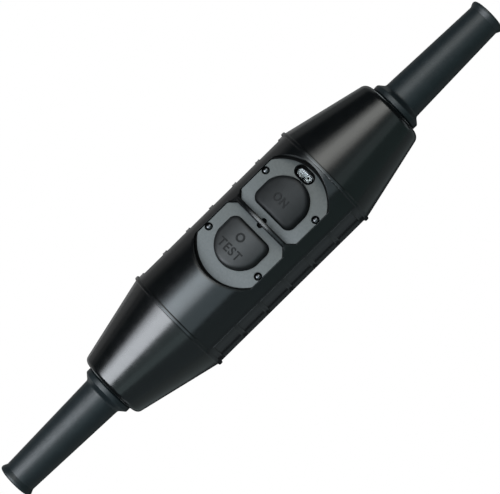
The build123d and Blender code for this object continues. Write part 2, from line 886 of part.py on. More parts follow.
# Flat conductors from the terminals to the contacts, as (place along X, place along Y)
bar_end = terminal_place + wire_grip
bar_routes = {
    "line_bar_in": [(-bar_end, -pole_spread), (-bar_bend_start, -pole_spread),
                    (-bar_bend_end, -bar_pass_spread), (-bar_split_start, -bar_pass_spread),
                    (-bar_split_end, -pole_spread), (-contact_end, -pole_spread)],
    "neutral_bar_in": [(-bar_end, 0), (-bar_bend_start, 0), (-bar_bend_end, bar_pass_spread),
                       (-bar_split_start, bar_pass_spread), (-bar_split_end, pole_spread),
                       (-contact_end, pole_spread)],
    "line_bar_out": [(contact_end, -pole_spread), (bar_end, -pole_spread)],
    "neutral_bar_out": [(contact_end, pole_spread), (bar_bend_end, pole_spread), (bar_bend_start, 0),
                        (bar_end, 0)],
}
for name, route in bar_routes.items():
    with BuildPart() as bar:
        with BuildSketch(level(bar_level)):
            with BuildLine():
                Polyline(
                    *[(x, y + bar_width / 2) for x, y in route],
                    *[(x, y - bar_width / 2) for x, y in reversed(route)],
                    close=True,
                )
            make_face()
        extrude(amount=bar_thickness)
    bar.part.label = name
    export_step(bar.part, f"parts/{name}.step")

# Earth conductor, which passes outside the transformer
with BuildPart() as earth_wire:
    with BuildLine() as earth_route:
        FilletPolyline(
            (-bar_end, pole_spread, axis_height + wire_level),
            (-bar_bend_start, pole_spread, axis_height + wire_level),
            (-earth_run, earth_shift, floor_thickness + earth_lift),
            (earth_run, earth_shift, floor_thickness + earth_lift),
            (bar_bend_start, pole_spread, axis_height + wire_level),
            (bar_end, pole_spread, axis_height + wire_level),
            radius=earth_bend_radius,
        )
    with BuildSketch(Plane(origin=earth_route.line @ 0, z_dir=earth_route.line % 0)):
        Circle(earth_radius)
    sweep()
earth_wire.part.label = "earth_wire"
export_step(earth_wire.part, "parts/earth_wire.step")

# Contacts: a fixed pair for each pole, bridged by a strip that the carrier presses down
contact_places = [(x, y) for x in (-contact_reach, contact_reach) for y in (-pole_spread, pole_spread)]
with BuildPart() as fixed_contacts:
    extrude(rounds(bar_top_level, contact_places, contact_radius), amount=fixed_contact_height)
fixed_contacts.part.label = "fixed_contacts"
export_step(fixed_contacts.part, "parts/fixed_contacts.step")

with BuildPart() as moving_contacts:
    extrude(rounds(strip_level, contact_places, contact_radius), amount=-moving_contact_height)
    with BuildSketch(level(strip_level)):
        with GridLocations(0, 2 * pole_spread, 1, 2):
            Rectangle(2 * (contact_reach + contact_strip_overlap), contact_strip_width)
    extrude(amount=contact_strip_thickness)
moving_contacts.part.label = "moving_contacts"
export_step(moving_contacts.part, "parts/moving_contacts.step")

with BuildPart() as contact_carrier:
    with BuildSketch(level(beam_level)):
        Rectangle(carrier_beam_width, 2 * beam_end)
    extrude(amount=carrier_beam_height)
    extrude(rounds(beam_level, [(0, 0)], carrier_hub_radius), amount=-carrier_hub_height)
    extrude(rounds(hub_level, [(0, 0)], plunger_radius), amount=carrier_hub_height + plunger_grip,
            mode=Mode.SUBTRACT)
contact_carrier.part.label = "contact_carrier"
export_step(contact_carrier.part, "parts/contact_carrier.step")

with BuildPart() as carrier_spring:
    extrude(rounds(block_level, [(0, 0)], carrier_spring_radius), amount=hub_level - block_level)
    extrude(rounds(block_level, [(0, 0)], carrier_spring_radius - carrier_spring_wire),
            amount=hub_level - block_level, mode=Mode.SUBTRACT)
carrier_spring.part.label = "carrier_spring"
export_step(carrier_spring.part, "parts/carrier_spring.step")

# Block that holds the fixed contacts and guides the carrier, with a hook over each end of it
with BuildPart() as contact_block:
    with BuildSketch(level(block_level)):
        Rectangle(block_length, block_width)
        Circle(block_hole_radius, mode=Mode.SUBTRACT)
        with GridLocations(2 * block_screw_reach, 0, 2, 1):
            Circle(block_screw_radius, mode=Mode.SUBTRACT)
    extrude(amount=block_thickness)
    hook_level = beam_top_level + soft_gap
    upright_middle = beam_end + soft_gap + upright_thickness / 2
    with BuildSketch(level(bar_level)):
        with GridLocations(0, 2 * upright_middle, 1, 2):
            Rectangle(upright_length, upright_thickness)
    extrude(amount=hook_level + hook_height - bar_level)
    hook_reach = upright_thickness + soft_gap + hook_overlap
    hook_middle = beam_end - hook_overlap + hook_reach / 2
    with BuildSketch(level(hook_level)):
        with GridLocations(0, 2 * hook_middle, 1, 2):
            Rectangle(upright_length, hook_reach)
    extrude(amount=hook_height)
contact_block.part.label = "contact_block"
export_step(contact_block.part, "parts/contact_block.step")

with BuildPart() as block_screws:
    block_screw_places = [(-block_screw_reach, 0), (block_screw_reach, 0)]
    extrude(rounds(bar_level, block_screw_places, block_screw_radius), amount=-block_screw_length)
    extrude(rounds(bar_level, block_screw_places, block_screw_head_radius),
            amount=block_screw_head_height)
block_screws.part.label = "block_screws"
export_step(block_screws.part, "parts/block_screws.step")

# Relay magnet below the contact block
with BuildPart() as relay_yoke:
    with BuildSketch(long_section):
        with Locations((0, (block_level + floor_level) / 2)):
            Rectangle(yoke_length, block_level - floor_level)
            Rectangle(yoke_length - 2 * yoke_thickness, bobbin_height, mode=Mode.SUBTRACT)
    extrude(amount=yoke_width / 2, both=True)
    extrude(rounds(block_level, [(0, 0)], plunger_radius + plunger_clearance),
            amount=-yoke_thickness, mode=Mode.SUBTRACT)
relay_yoke.part.label = "relay_yoke"
export_step(relay_yoke.part, "parts/relay_yoke.step")

with BuildPart() as coil_bobbin:
    extrude(rounds(yoke_inside_level, [(0, 0)], bobbin_hub_radius), amount=bobbin_height)
    for flange_place in (yoke_inside_level, yoke_inside_level + bobbin_height - bobbin_flange):
        extrude(rounds(flange_place, [(0, 0)], bobbin_radius), amount=bobbin_flange)
    extrude(rounds(yoke_inside_level, [(0, 0)], plunger_radius + plunger_clearance),
            amount=bobbin_height, mode=Mode.SUBTRACT)
coil_bobbin.part.label = "coil_bobbin"
export_step(coil_bobbin.part, "parts/coil_bobbin.step")

with BuildPart() as coil_winding:
    winding_height = bobbin_height - 2 * bobbin_flange
    extrude(rounds(yoke_inside_level + bobbin_flange, [(0, 0)], winding_radius), amount=winding_height)
    extrude(rounds(yoke_inside_level + bobbin_flange, [(0, 0)], bobbin_hub_radius),
            amount=winding_height, mode=Mode.SUBTRACT)
coil_winding.part.label = "coil_winding"
export_step(coil_winding.part, "parts/coil_winding.step")

with BuildPart() as relay_plunger:
    extrude(rounds(plunger_end_level, [(0, 0)], plunger_radius),
            amount=beam_level + plunger_grip - plunger_end_level)
relay_plunger.part.label = "relay_plunger"
export_step(relay_plunger.part, "parts/relay_plunger.step")

# Terminal blocks with their brass clamps and screws
terminal_spots = [(side * terminal_place, pole * pole_spread) for side in (-1, 1) for pole in (-1, 0, 1)]
for side, name in ((-1, "terminal_block_in"), (1, "terminal_block_out")):
    with BuildPart() as terminal_block:
        with BuildSketch(level(terminal_foot_level)):
            with Locations((side * terminal_place, 0)):
                Rectangle(terminal_length, terminal_width)
        extrude(amount=terminal_height)
        with BuildSketch(level(clamp_body_level)):
            with Locations((side * terminal_place, 0)):
                with GridLocations(0, pole_spread, 1, 3):
                    Rectangle(clamp_body_length + 2 * clamp_body_clearance,
                              clamp_body_width + 2 * clamp_body_clearance)
        extrude(amount=terminal_height, mode=Mode.SUBTRACT)
        with BuildSketch(cross_section.offset(side * terminal_place - terminal_length)):
            with Locations((0, wire_level)):
                with GridLocations(pole_spread, 0, 3, 1):
                    Circle(wire_hole_radius)
        extrude(amount=2 * terminal_length, mode=Mode.SUBTRACT)
    terminal_block.part.label = name
    export_step(terminal_block.part, f"parts/{name}.step")

with BuildPart() as terminal_clamps:
    with BuildSketch(level(clamp_body_level)):
        with Locations(*terminal_spots):
            Rectangle(clamp_body_length, clamp_body_width)
    extrude(amount=clamp_body_height)
    for side in (-1, 1):
        with BuildSketch(cross_section.offset(side * terminal_place - terminal_length)):
            with Locations((0, wire_level)):
                with GridLocations(pole_spread, 0, 3, 1):
                    Circle(wire_hole_radius)
        extrude(amount=2 * terminal_length, mode=Mode.SUBTRACT)
    extrude(rounds(wire_level, terminal_spots, terminal_screw_radius), amount=clamp_body_height,
            mode=Mode.SUBTRACT)
terminal_clamps.part.label = "terminal_clamps"
export_step(terminal_clamps.part, "parts/terminal_clamps.step")

with BuildPart() as terminal_screws:
    screw_tip = wire_level + earth_radius
    screw_seat = clamp_body_level + clamp_body_height + terminal_screw_lift
    extrude(rounds(screw_tip, terminal_spots, terminal_screw_radius), amount=screw_seat - screw_tip)
    extrude(rounds(screw_seat, terminal_spots, terminal_screw_head_radius),
            amount=terminal_screw_head_height)
terminal_screws.part.label = "terminal_screws"
export_step(terminal_screws.part, "parts/terminal_screws.step")

# Bars and screws that grip the cable
strain_screw_places = [
    (side * strain_place, half * strain_screw_spread / 2) for side in (-1, 1) for half in (-1, 1)
]
for side, name in ((-1, "cable_clamp_in"), (1, "cable_clamp_out")):
    with BuildPart() as cable_clamp:
        with BuildSketch(level(strain_level)):
            with Locations((side * strain_place, 0)):
                Rectangle(strain_length, strain_width)
                with GridLocations(0, strain_screw_spread, 1, 2):
                    Circle(strain_screw_radius, mode=Mode.SUBTRACT)
        extrude(amount=strain_bar_height)
        with BuildSketch(cross_section.offset(side * strain_place - strain_length)):
            Circle(strain_bore_radius)
        extrude(amount=2 * strain_length, mode=Mode.SUBTRACT)
    cable_clamp.part.label = name
    export_step(cable_clamp.part, f"parts/{name}.step")

with BuildPart() as clamp_screws:
    extrude(rounds(strain_top_level, strain_screw_places, strain_screw_radius),
            amount=-strain_screw_length)
    extrude(rounds(strain_top_level, strain_screw_places, strain_screw_head_radius),
            amount=strain_screw_head_height)
clamp_screws.part.label = "clamp_screws"
export_step(clamp_screws.part, "parts/clamp_screws.step")

# Bend-protection sleeves: foot inside the end wall, flange outside it, taper and lipped tip
sleeve_tip = overall_length / 2
sleeve_foot = half_inside - soft_gap
sleeve_flange = half_body + soft_gap
for side, name in ((-1, "cable_sleeve_in"), (1, "cable_sleeve_out")):
    with BuildPart() as cable_sleeve:
        with BuildSketch(long_section) as sleeve_profile:
            with BuildLine():
                Polyline(
                    (side * (sleeve_foot - sleeve_foot_length), cable_bore_radius),
                    (side * (sleeve_foot - sleeve_foot_length), sleeve_foot_radius),
                    (side * sleeve_foot, sleeve_foot_radius),
                    (side * sleeve_foot, sleeve_neck_radius),
                    (side * sleeve_flange, sleeve_neck_radius),
                    (side * sleeve_flange, sleeve_flange_radius),
                    (side * (sleeve_flange + sleeve_flange_length), sleeve_flange_radius),
                    (side * (sleeve_flange + sleeve_flange_length + sleeve_shoulder_length),
                     sleeve_root_radius),
                    (side * (sleeve_tip - sleeve_lip_length - sleeve_flare_length), sleeve_tip_radius),
                    (side * (sleeve_tip - sleeve_lip_length), sleeve_lip_radius),
                    (side * sleeve_tip, sleeve_lip_radius),
                    (side * sleeve_tip, cable_bore_radius),
                    close=True,
                )
            make_face()
            for rim in (sleeve_flange_radius, sleeve_lip_radius):
                fillet(
                    sleeve_profile.vertices().filter_by_position(Axis.Y, rim - seat_gap, rim + seat_gap),
                    sleeve_round,
                )
            fillet(
                sleeve_profile.vertices().filter_by_position(
                    Axis.Y, sleeve_root_radius - seat_gap, sleeve_root_radius + seat_gap
                ),
                sleeve_shoulder_round,
            )
        revolve(axis=body_axis)
    cable_sleeve.part.label = name
    export_step(cable_sleeve.part, f"parts/{name}.step")
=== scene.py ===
from math import asin, cos, pi, radians, sin, tan

import bmesh
import bpy
from mathutils import Matrix, Vector


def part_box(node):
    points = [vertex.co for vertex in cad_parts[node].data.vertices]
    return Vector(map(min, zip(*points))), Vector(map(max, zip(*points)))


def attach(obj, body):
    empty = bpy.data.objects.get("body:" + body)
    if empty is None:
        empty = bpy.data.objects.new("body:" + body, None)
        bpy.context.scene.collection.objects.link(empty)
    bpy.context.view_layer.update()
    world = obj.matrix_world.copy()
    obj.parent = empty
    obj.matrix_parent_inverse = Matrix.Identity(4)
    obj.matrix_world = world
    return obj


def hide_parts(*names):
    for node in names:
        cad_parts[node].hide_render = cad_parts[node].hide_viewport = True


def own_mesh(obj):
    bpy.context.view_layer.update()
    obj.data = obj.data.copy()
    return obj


# In-line residual-current switch: looks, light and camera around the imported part. Lengths are in metres.
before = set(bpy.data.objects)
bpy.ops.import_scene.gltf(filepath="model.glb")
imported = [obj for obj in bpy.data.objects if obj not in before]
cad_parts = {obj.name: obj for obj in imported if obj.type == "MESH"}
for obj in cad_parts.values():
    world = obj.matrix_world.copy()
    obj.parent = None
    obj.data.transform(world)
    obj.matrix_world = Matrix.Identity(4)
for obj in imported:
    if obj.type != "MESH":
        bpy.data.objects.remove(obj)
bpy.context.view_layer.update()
scene = bpy.context.scene
scene.view_settings.view_transform = "Standard"
scene.view_settings.look = "None"

# Places and sizes of the part that several of the forms below share
axis_height = 0.0275
body_radius = 0.02925
plate_pair_middle = 0.01215
button_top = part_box("on_button")[1].z
plate_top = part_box("test_plate")[1].z

# Noise values at which a mottle reaches its two ends
mottle_start, mottle_end = 0.3, 0.7


def join_all(tree, links):
    """Link each source of a node tree to its target."""
    for source, target in links:
        tree.links.new(source, target)


# Nodes of a material
class Recipe:
    """A material's node tree, with one short call for each kind of node."""

    def __init__(self, name):
        self.material = bpy.data.materials.new(name + "_finish")
        self.material.use_nodes = True
        self.tree = self.material.node_tree
        self.shader = self.tree.nodes["Principled BSDF"]
        self.place = self.node("ShaderNodeTexCoord").outputs["Object"]

    def node(self, kind, **settings):
        made = self.tree.nodes.new(kind)
        for key, value in settings.items():
            setattr(made, key, value)
        return made

    def join(self, source, target):
        self.tree.links.new(source, target)

    def parts(self):
        """The place's X, Y and Z."""
        split = self.node("ShaderNodeSeparateXYZ")
        self.join(self.place, split.inputs["Vector"])
        return split.outputs

    def noise(self, size, detail=2.0, roughness=0.5, stretch=None):
        """Soft mottle whose blotches are about one size across."""
        texture = self.node("ShaderNodeTexNoise")
        texture.inputs["Scale"].default_value = 1 / size
        texture.inputs["Detail"].default_value = detail
        texture.inputs["Roughness"].default_value = roughness
        place = self.place
        if stretch:
            mapping = self.node("ShaderNodeMapping")
            mapping.inputs["Scale"].default_value = stretch
            self.join(place, mapping.inputs["Vector"])
            place = mapping.outputs["Vector"]
        self.join(place, texture.inputs["Vector"])
        return texture.outputs["Fac"]

    def soft_edges(self, radius, wider=None, window=None):
        """Normal that rounds the edges a mould or a tumbler would round, with a wider radius in a window
        given as the middle and the half size along X, the half size along Y and the lowest height."""
        bevel = self.node("ShaderNodeBevel", samples=6)
        bevel.inputs["Radius"].default_value = radius
        if window:
            middle, half_x, half_y, lowest = window
            tests = (("X", "COMPARE", (middle, half_x)), ("Y", "COMPARE", (0, half_y)),
                     ("Z", "GREATER_THAN", (lowest,)))
            parts = self.parts()
            inside = None
            for axis, operation, numbers in tests:
                test = self.node("ShaderNodeMath", operation=operation)
                self.join(parts[axis], test.inputs[0])
                for place, number in enumerate(numbers, 1):
                    test.inputs[place].default_value = number
                both = self.node("ShaderNodeMath", operation="MULTIPLY")
                both.inputs[0].default_value = wider - radius
                if inside is not None:
                    self.join(inside, both.inputs[0])
                self.join(test.outputs[0], both.inputs[1])
                inside = both.outputs[0]
            size = self.node("ShaderNodeMath", operation="ADD")
            self.join(inside, size.inputs[0])
            size.inputs[1].default_value = radius
            self.join(size.outputs[0], bevel.inputs["Radius"])
        return bevel.outputs["Normal"]

    def tone(self, factor, low, high):
        """Colour that runs from one tone to another."""
        ramp = self.node("ShaderNodeValToRGB")
        for element, position, colour in zip(ramp.color_ramp.elements, (mottle_start, mottle_end), (low, high)):
            element.position = position
            element.color = (*colour, 1)
        self.join(factor, ramp.inputs["Fac"])
        return ramp.outputs["Color"]

    def spread(self, factor, low, high):
        """Number that runs between two values."""
        span = self.node("ShaderNodeMapRange")
        span.inputs["From Min"].default_value = mottle_start
        span.inputs["From Max"].default_value = mottle_end
        span.inputs["To Min"].default_value = low
        span.inputs["To Max"].default_value = high
        self.join(factor, span.inputs["Value"])
        return span.outputs["Result"]

    def relief(self, height, depth, below, strength=1.0):
        """Bump of a given depth over another normal."""
        bump = self.node("ShaderNodeBump")
        bump.inputs["Distance"].default_value = depth
        bump.inputs["Strength"].default_value = strength
        self.join(height, bump.inputs["Height"])
        self.join(below, bump.inputs["Normal"])
        return bump.outputs["Normal"]

    def crown(self, axis, middle, reach):
        """Height that falls off evenly to both sides of a place on an axis."""
        value = self.parts()[axis]
        for operation, number in (("SUBTRACT", middle), ("DIVIDE", reach), ("POWER", 2), ("MULTIPLY", -1)):
            step = self.node("ShaderNodeMath", operation=operation)
            self.join(value, step.inputs[0])
            step.inputs[1].default_value = number
            value = step.outputs[0]
        return value

    def colour(self, source):
        self.join(source, self.shader.inputs["Base Color"])

    def roughness(self, source):
        self.join(source, self.shader.inputs["Roughness"])

    def normal(self, source):
        self.join(source, self.shader.inputs["Normal"])


def moulded(name, low, high, mottle, rough, grain_size, grain_depth, edge=0.0002, crown=None,
            wider=None, window=None, **sockets):
    """Moulded plastic or rubber: a tone that is mottled between two, uneven gloss, the mould's fine grain,
    rounded edges and, where crown gives its axis, middle, reach and rise, a gentle crown."""
    recipe = Recipe(name)
    recipe.colour(recipe.tone(recipe.noise(mottle, 3), low, high))
    recipe.roughness(recipe.spread(recipe.noise(mottle / 3, 4), *rough))
    form = recipe.soft_edges(edge, wider, window)
    if crown:
        form = recipe.relief(recipe.crown(*crown[:3]), crown[3], form)
    flow = recipe.relief(recipe.noise(mottle, 1), grain_depth * 2, form, 0.3)
    recipe.normal(recipe.relief(recipe.noise(grain_size, 3, 0.6), grain_depth, flow))
    for socket, value in sockets.items():
        recipe.shader.inputs[socket.replace("_", " ")].default_value = value
    return recipe.material


def metal(name, low, high, rough, grain_size, grain_depth, stretch=None):
    """Metal with a fine drawn or rolled texture."""
    recipe = Recipe(name)
    recipe.colour(recipe.tone(recipe.noise(grain_size * 4, 3), low, high))
    recipe.roughness(recipe.spread(recipe.noise(grain_size, 3, 0.6, stretch), *rough))
    recipe.normal(recipe.relief(recipe.noise(grain_size, 2, 0.5, stretch), grain_depth,
                                recipe.soft_edges(0.0001)))
    recipe.shader.inputs["Metallic"].default_value = 1.0
    return recipe.material


def clear_cover(name):
    """Clear moulded cover with a faint cool tint."""
    recipe = Recipe(name)
    recipe.colour(recipe.tone(recipe.noise(0.002, 2), (0.90, 0.93, 0.94), (0.97, 0.98, 0.98)))
    recipe.roughness(recipe.spread(recipe.noise(0.0008, 3), 0.02, 0.06))
    recipe.normal(recipe.relief(recipe.noise(0.0018, 2), 0.00004, recipe.soft_edges(0.0002)))
    recipe.shader.inputs["Transmission Weight"].default_value = 1.0
    recipe.shader.inputs["IOR"].default_value = 1.12
    return recipe.material


# Finishes of the slots and of the added forms
finishes = {
    "shell_black": moulded("shell_black", (0.0007, 0.0010, 0.0011), (0.0011, 0.0014, 0.0016), 0.012,
                           (0.19, 0.23), 0.00035, 0.000003, 0.0003,
                           wider=0.0020, window=(-0.0060, 0.0202, 0.0185, 0.042)),
    "plate_grey": moulded("plate_grey", (0.020, 0.024, 0.024), (0.030, 0.034, 0.034), 0.0012,
                          (0.34, 0.40), 0.00035, 0.00002, 0.0002, ("X", -0.014, 0.0175, 0.0007),
                          Specular_IOR_Level=0.41),
    # Darker copy of plate_grey for the ON plate: painted shade of the light falling off towards that end
    "plate_grey_on": moulded("plate_grey_on", (0.020, 0.024, 0.024), (0.030, 0.034, 0.034), 0.0012,
                             (0.34, 0.40), 0.00035, 0.00002, 0.0002, ("X", 0.0225, 0.0175, 0.0012),
                             Specular_IOR_Level=0.37),
    "button_rubber": moulded("button_rubber", (0.004, 0.0043, 0.0045), (0.006, 0.0063, 0.0065), 0.003,
                             (0.38, 0.46), 0.0003, 0.000008, 0.0022, ("Y", 0.001, 0.0115, 0.0018),
                             Specular_IOR_Level=0.28),
    # Darker, duller copy of button_rubber for the ON button: painted shade of the light falling off towards
    # that end
    "button_rubber_on": moulded("button_rubber_on", (0.003, 0.0033, 0.0036), (0.0048, 0.0052, 0.0055), 0.003,
                                (0.40, 0.48), 0.0003, 0.000008, 0.0022, ("Y", 0.001, 0.0115, 0.0018),
                                Specular_IOR_Level=0.16),
    "button_lettering": moulded("button_lettering", (0.0015, 0.0016, 0.0018), (0.0025, 0.0026, 0.0028), 0.001,
                                (0.48, 0.56), 0.0002, 0.000008, 0.0001, Specular_IOR_Level=0.13),
    # Near-black finish that barely reflects; the screw rings, notch discs, plate-gap bands and indicator floor
    # ring that wear it are painted shade
    "lamp_bezel": moulded("lamp_bezel", (0.0008, 0.0008, 0.0008), (0.0014, 0.0014, 0.0014), 0.001,
                          (0.6, 0.7), 0.0002, 0.000008, 0.0001, Specular_IOR_Level=0.04),
    "sleeve_rubber": moulded("sleeve_rubber", (0.0028, 0.0050, 0.0060), (0.0038, 0.0066, 0.0078), 0.005,
                             (0.40, 0.47), 0.0004, 0.00001, 0.0003, Specular_IOR_Level=0.33),
    "seal_rubber": moulded("seal_rubber", (0.010, 0.010, 0.011), (0.018, 0.018, 0.019), 0.002,
                           (0.6, 0.75), 0.0003, 0.00001),
    "lamp_body": moulded("lamp_body", (0.60, 0.62, 0.55), (0.70, 0.72, 0.64), 0.001,
                         (0.12, 0.2), 0.0004, 0.000002),
    "board_green": moulded("board_green", (0.008, 0.060, 0.022), (0.014, 0.090, 0.032), 0.003,
                           (0.28, 0.40), 0.0006, 0.00002),
    "component_black": moulded("component_black", (0.012, 0.012, 0.013), (0.02, 0.02, 0.022), 0.002,
                               (0.40, 0.55), 0.0002, 0.00001),
    "component_blue": moulded("component_blue", (0.01, 0.06, 0.20), (0.015, 0.085, 0.27), 0.002,
                              (0.35, 0.5), 0.0003, 0.00001),
    "inner_plastic": moulded("inner_plastic", (0.34, 0.33, 0.30), (0.42, 0.41, 0.37), 0.006,
                             (0.45, 0.58), 0.0004, 0.00001),
    "clamp_plastic": moulded("clamp_plastic", (0.05, 0.05, 0.052), (0.075, 0.075, 0.078), 0.004,
                             (0.42, 0.56), 0.0004, 0.00001),
    "earth_sheath": moulded("earth_sheath", (0.09, 0.24, 0.03), (0.55, 0.48, 0.03), 0.004,
                            (0.38, 0.5), 0.0004, 0.000006),
    "dome_steel": metal("dome_steel", (0.05, 0.052, 0.055), (0.075, 0.078, 0.082), (0.16, 0.22),
                        0.0005, 0.000002),
    "screw_steel": metal("screw_steel", (0.42, 0.42, 0.40), (0.52, 0.52, 0.50), (0.24, 0.36),
                         0.0004, 0.000004),
    "spring_steel": metal("spring_steel", (0.46, 0.45, 0.43), (0.56, 0.55, 0.53), (0.2, 0.32),
                          0.0003, 0.000004),
    "core_steel": metal("core_steel", (0.25, 0.25, 0.26), (0.34, 0.34, 0.35), (0.35, 0.5),
                        0.0005, 0.00001, (1, 6, 6)),
    "copper_wire": metal("copper_wire", (0.62, 0.25, 0.11), (0.78, 0.36, 0.18), (0.2, 0.34),
                         0.0003, 0.00002, (8, 1, 1)),
    "contact_brass": metal("contact_brass", (0.62, 0.42, 0.15), (0.74, 0.53, 0.22), (0.2, 0.34),
                           0.0005, 0.000006, (1, 8, 8)),
    "contact_silver": metal("contact_silver", (0.70, 0.69, 0.66), (0.82, 0.81, 0.78), (0.16, 0.28),
                            0.0003, 0.000004),
    "clear_lens": clear_cover("clear_lens"),
    "lamp_silver": metal("lamp_silver", (0.04, 0.041, 0.042), (0.115, 0.118, 0.12), (0.3, 0.5),
                         0.0004, 0.00002),
    "lamp_ring": metal("lamp_ring", (0.16, 0.16, 0.155), (0.24, 0.24, 0.235), (0.2, 0.3),
                       0.0004, 0.00001),
}

# Each node of the part takes the finish of its own slot; the ON plate and the ON button take darker, duller
# copies of theirs, painted shade for the light that falls off towards the ON end
shaded_copy_pieces = ("on_plate", "on_button")
for name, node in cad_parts.items():
    for place in node.material_slots:
        finish = place.material.name
        place.material = finishes[finish + "_on" if name in shaded_copy_pieces else finish]

# Meshes of single forms, shaded smooth where their faces meet at less than this angle
smooth_below = radians(32)


def placed_mesh(name, mesh, finish):
    """Object for a finished mesh, smooth but for its real edges."""
    piece = bpy.data.objects.new(name, mesh)
    scene.collection.objects.link(piece)
    mesh.name = name
    mesh.materials.clear()
    mesh.materials.append(finishes[finish])
    mesh.shade_smooth()
    mesh.set_sharp_from_angle(angle=smooth_below)
    return piece


def evaluated_mesh(carrier):
    """Mesh of an object with its modifiers applied; the object goes."""
    bpy.context.view_layer.update()
    mesh = bpy.data.meshes.new_from_object(carrier.evaluated_get(bpy.context.evaluated_depsgraph_get()))
    bpy.data.objects.remove(carrier)
    return mesh


def closed_mesh(name, form):
    """Mesh of a closed form, its faces turned outwards; the form goes."""
    bmesh.ops.recalc_face_normals(form, faces=form.faces)
    mesh = bpy.data.meshes.new(name)
    form.to_mesh(mesh)
    form.free()
    return mesh


def box_middle(low, high):
    """Middle of a box along X and Y."""
    return (low.x + high.x) / 2, (low.y + high.y) / 2


def turned(name, profile, middle, turns=48):
    """Body turned about an upright axis from (radius, height) points; its two ends may lie on the axis."""
    form = bmesh.new()
    rows = []
    for radius, height in profile:
        if radius == 0:
            rows.append([form.verts.new((middle[0], middle[1], height))])
        else:
            rows.append([form.verts.new((middle[0] + radius * cos(2 * pi * step / turns),
                                         middle[1] + radius * sin(2 * pi * step / turns), height))
                         for step in range(turns)])
    closed = len(rows[0]) > 1
    for here, there in list(zip(rows, rows[1:])) + ([(rows[-1], rows[0])] if closed else []):
        for i in range(turns):
            j = (i + 1) % turns
            corners = {here[i % len(here)]: None, here[j % len(here)]: None,
                       there[j % len(there)]: None, there[i % len(there)]: None}
            form.faces.new(list(corners))
    return closed_mesh(name, form)


def disc_profile(radius, low, high):
    """Section of a plain disc."""
    return [(0, low), (radius, low), (radius, high), (0, high)]


def ring_profile(inner, outer, low, high, edge):
    """Section of a ring with softened top edges."""
    return [(inner, low), (inner, high - edge), (inner + edge, high), (outer - edge, high),
            (outer, high - edge), (outer, low)]


def stacked(name, rings, closed=False):
    """Body through rings of points, capped at both ends or closed on itself."""
    form = bmesh.new()
    rows = [[form.verts.new(point) for point in ring] for ring in rings]
    count = len(rows[0])
    for low_row, high_row in list(zip(rows, rows[1:])) + ([(rows[-1], rows[0])] if closed else []):
        for i in range(count):
            j = (i + 1) % count
            form.faces.new((low_row[i], low_row[j], high_row[j], high_row[i]))
    if not closed:
        form.faces.new(list(reversed(rows[0])))
        form.faces.new(rows[-1])
    return closed_mesh(name, form)


def carved(mesh, cutter):
    """Mesh with the form of another one cut out of it."""
    body = bpy.data.objects.new("carved_body", mesh)
    tool = bpy.data.objects.new("carving_tool", cutter)
    scene.collection.objects.link(body)
    scene.collection.objects.link(tool)
    cut = body.modifiers.new("cut", "BOOLEAN")
    cut.operation = "DIFFERENCE"
    cut.solver = "EXACT"
    cut.object = tool
    result = evaluated_mesh(body)
    bpy.data.objects.remove(tool)
    return result


# Geometry Nodes for what repeats
def group_of(name, inputs):
    """Empty group with a geometry in and out and other named inputs, and those inputs' identifiers."""
    tree = bpy.data.node_groups.new(name, "GeometryNodeTree")
    tree.interface.new_socket("Geometry", in_out="INPUT", socket_type="NodeSocketGeometry")
    identifiers = {}
    for label, kind in inputs:
        socket = tree.interface.new_socket(label, in_out="INPUT", socket_type=f"NodeSocket{kind}")
        identifiers[label] = socket.identifier
    tree.interface.new_socket("Geometry", in_out="OUTPUT", socket_type="NodeSocketGeometry")
    return tree, identifiers


def grown_mesh(seed, tree, identifiers, **values):
    """Mesh that a group makes out of a seed mesh and of values for its inputs."""
    carrier = bpy.data.objects.new(seed.name + "_seed", seed)
    scene.collection.objects.link(carrier)
    modifier = carrier.modifiers.new("growth", "NODES")
    modifier.node_group = tree
    for label, value in values.items():
        modifier[identifiers[label]] = value
    return evaluated_mesh(carrier)


def places_group():
    """Group that stands copies of a mesh on a grid of places, with the middle column stepped outwards."""
    tree, identifiers = group_of("repeat_on_places", (
        ("Columns", "Int"), ("Rows", "Int"), ("Length", "Float"), ("Width", "Float"), ("Middle", "Vector"),
        ("Outwards", "Float"), ("Finish", "Material")))

    def made(kind, **inputs):
        """Node whose inputs i0, i1 and so on take a number or a link."""
        node = tree.nodes.new(kind)
        for key, value in inputs.items():
            if key == "operation":
                node.operation = value
            elif isinstance(value, (int, float)):
                node.inputs[int(key[1:])].default_value = value
            else:
                tree.links.new(value, node.inputs[int(key[1:])])
        return node

    given = tree.nodes.new("NodeGroupInput").outputs
    grid = made("GeometryNodeMeshGrid", i0=given["Length"], i1=given["Width"], i2=given["Columns"],
                i3=given["Rows"])
    place = made("ShaderNodeSeparateXYZ", i0=tree.nodes.new("GeometryNodeInputPosition").outputs[0])
    reach = made("ShaderNodeMath", operation="ABSOLUTE", i0=place.outputs["X"])
    share = made("ShaderNodeMath", operation="DIVIDE", i0=reach.outputs[0], i1=given["Length"])
    inward = made("ShaderNodeMath", operation="MULTIPLY_ADD", i0=share.outputs[0], i1=-2.0, i2=1.0)
    step_out = made("ShaderNodeMath", operation="MULTIPLY", i0=inward.outputs[0], i1=given["Outwards"])
    hand = made("ShaderNodeMath", operation="SIGN", i0=place.outputs["Y"])
    sideways = made("ShaderNodeMath", operation="MULTIPLY", i0=step_out.outputs[0], i1=hand.outputs[0])
    shift = made("ShaderNodeCombineXYZ", i1=sideways.outputs[0])
    move = made("ShaderNodeVectorMath", operation="ADD", i0=shift.outputs[0], i1=given["Middle"])
    places = made("GeometryNodeSetPosition", i0=grid.outputs["Mesh"], i3=move.outputs[0])
    copies = made("GeometryNodeInstanceOnPoints", i0=places.outputs[0], i2=given["Geometry"])
    solid = made("GeometryNodeRealizeInstances", i0=copies.outputs[0])
    dressed = made("GeometryNodeSetMaterial", i0=solid.outputs[0], i2=given["Finish"])
    made("NodeGroupOutput", i0=dressed.outputs[0])
    return tree, identifiers


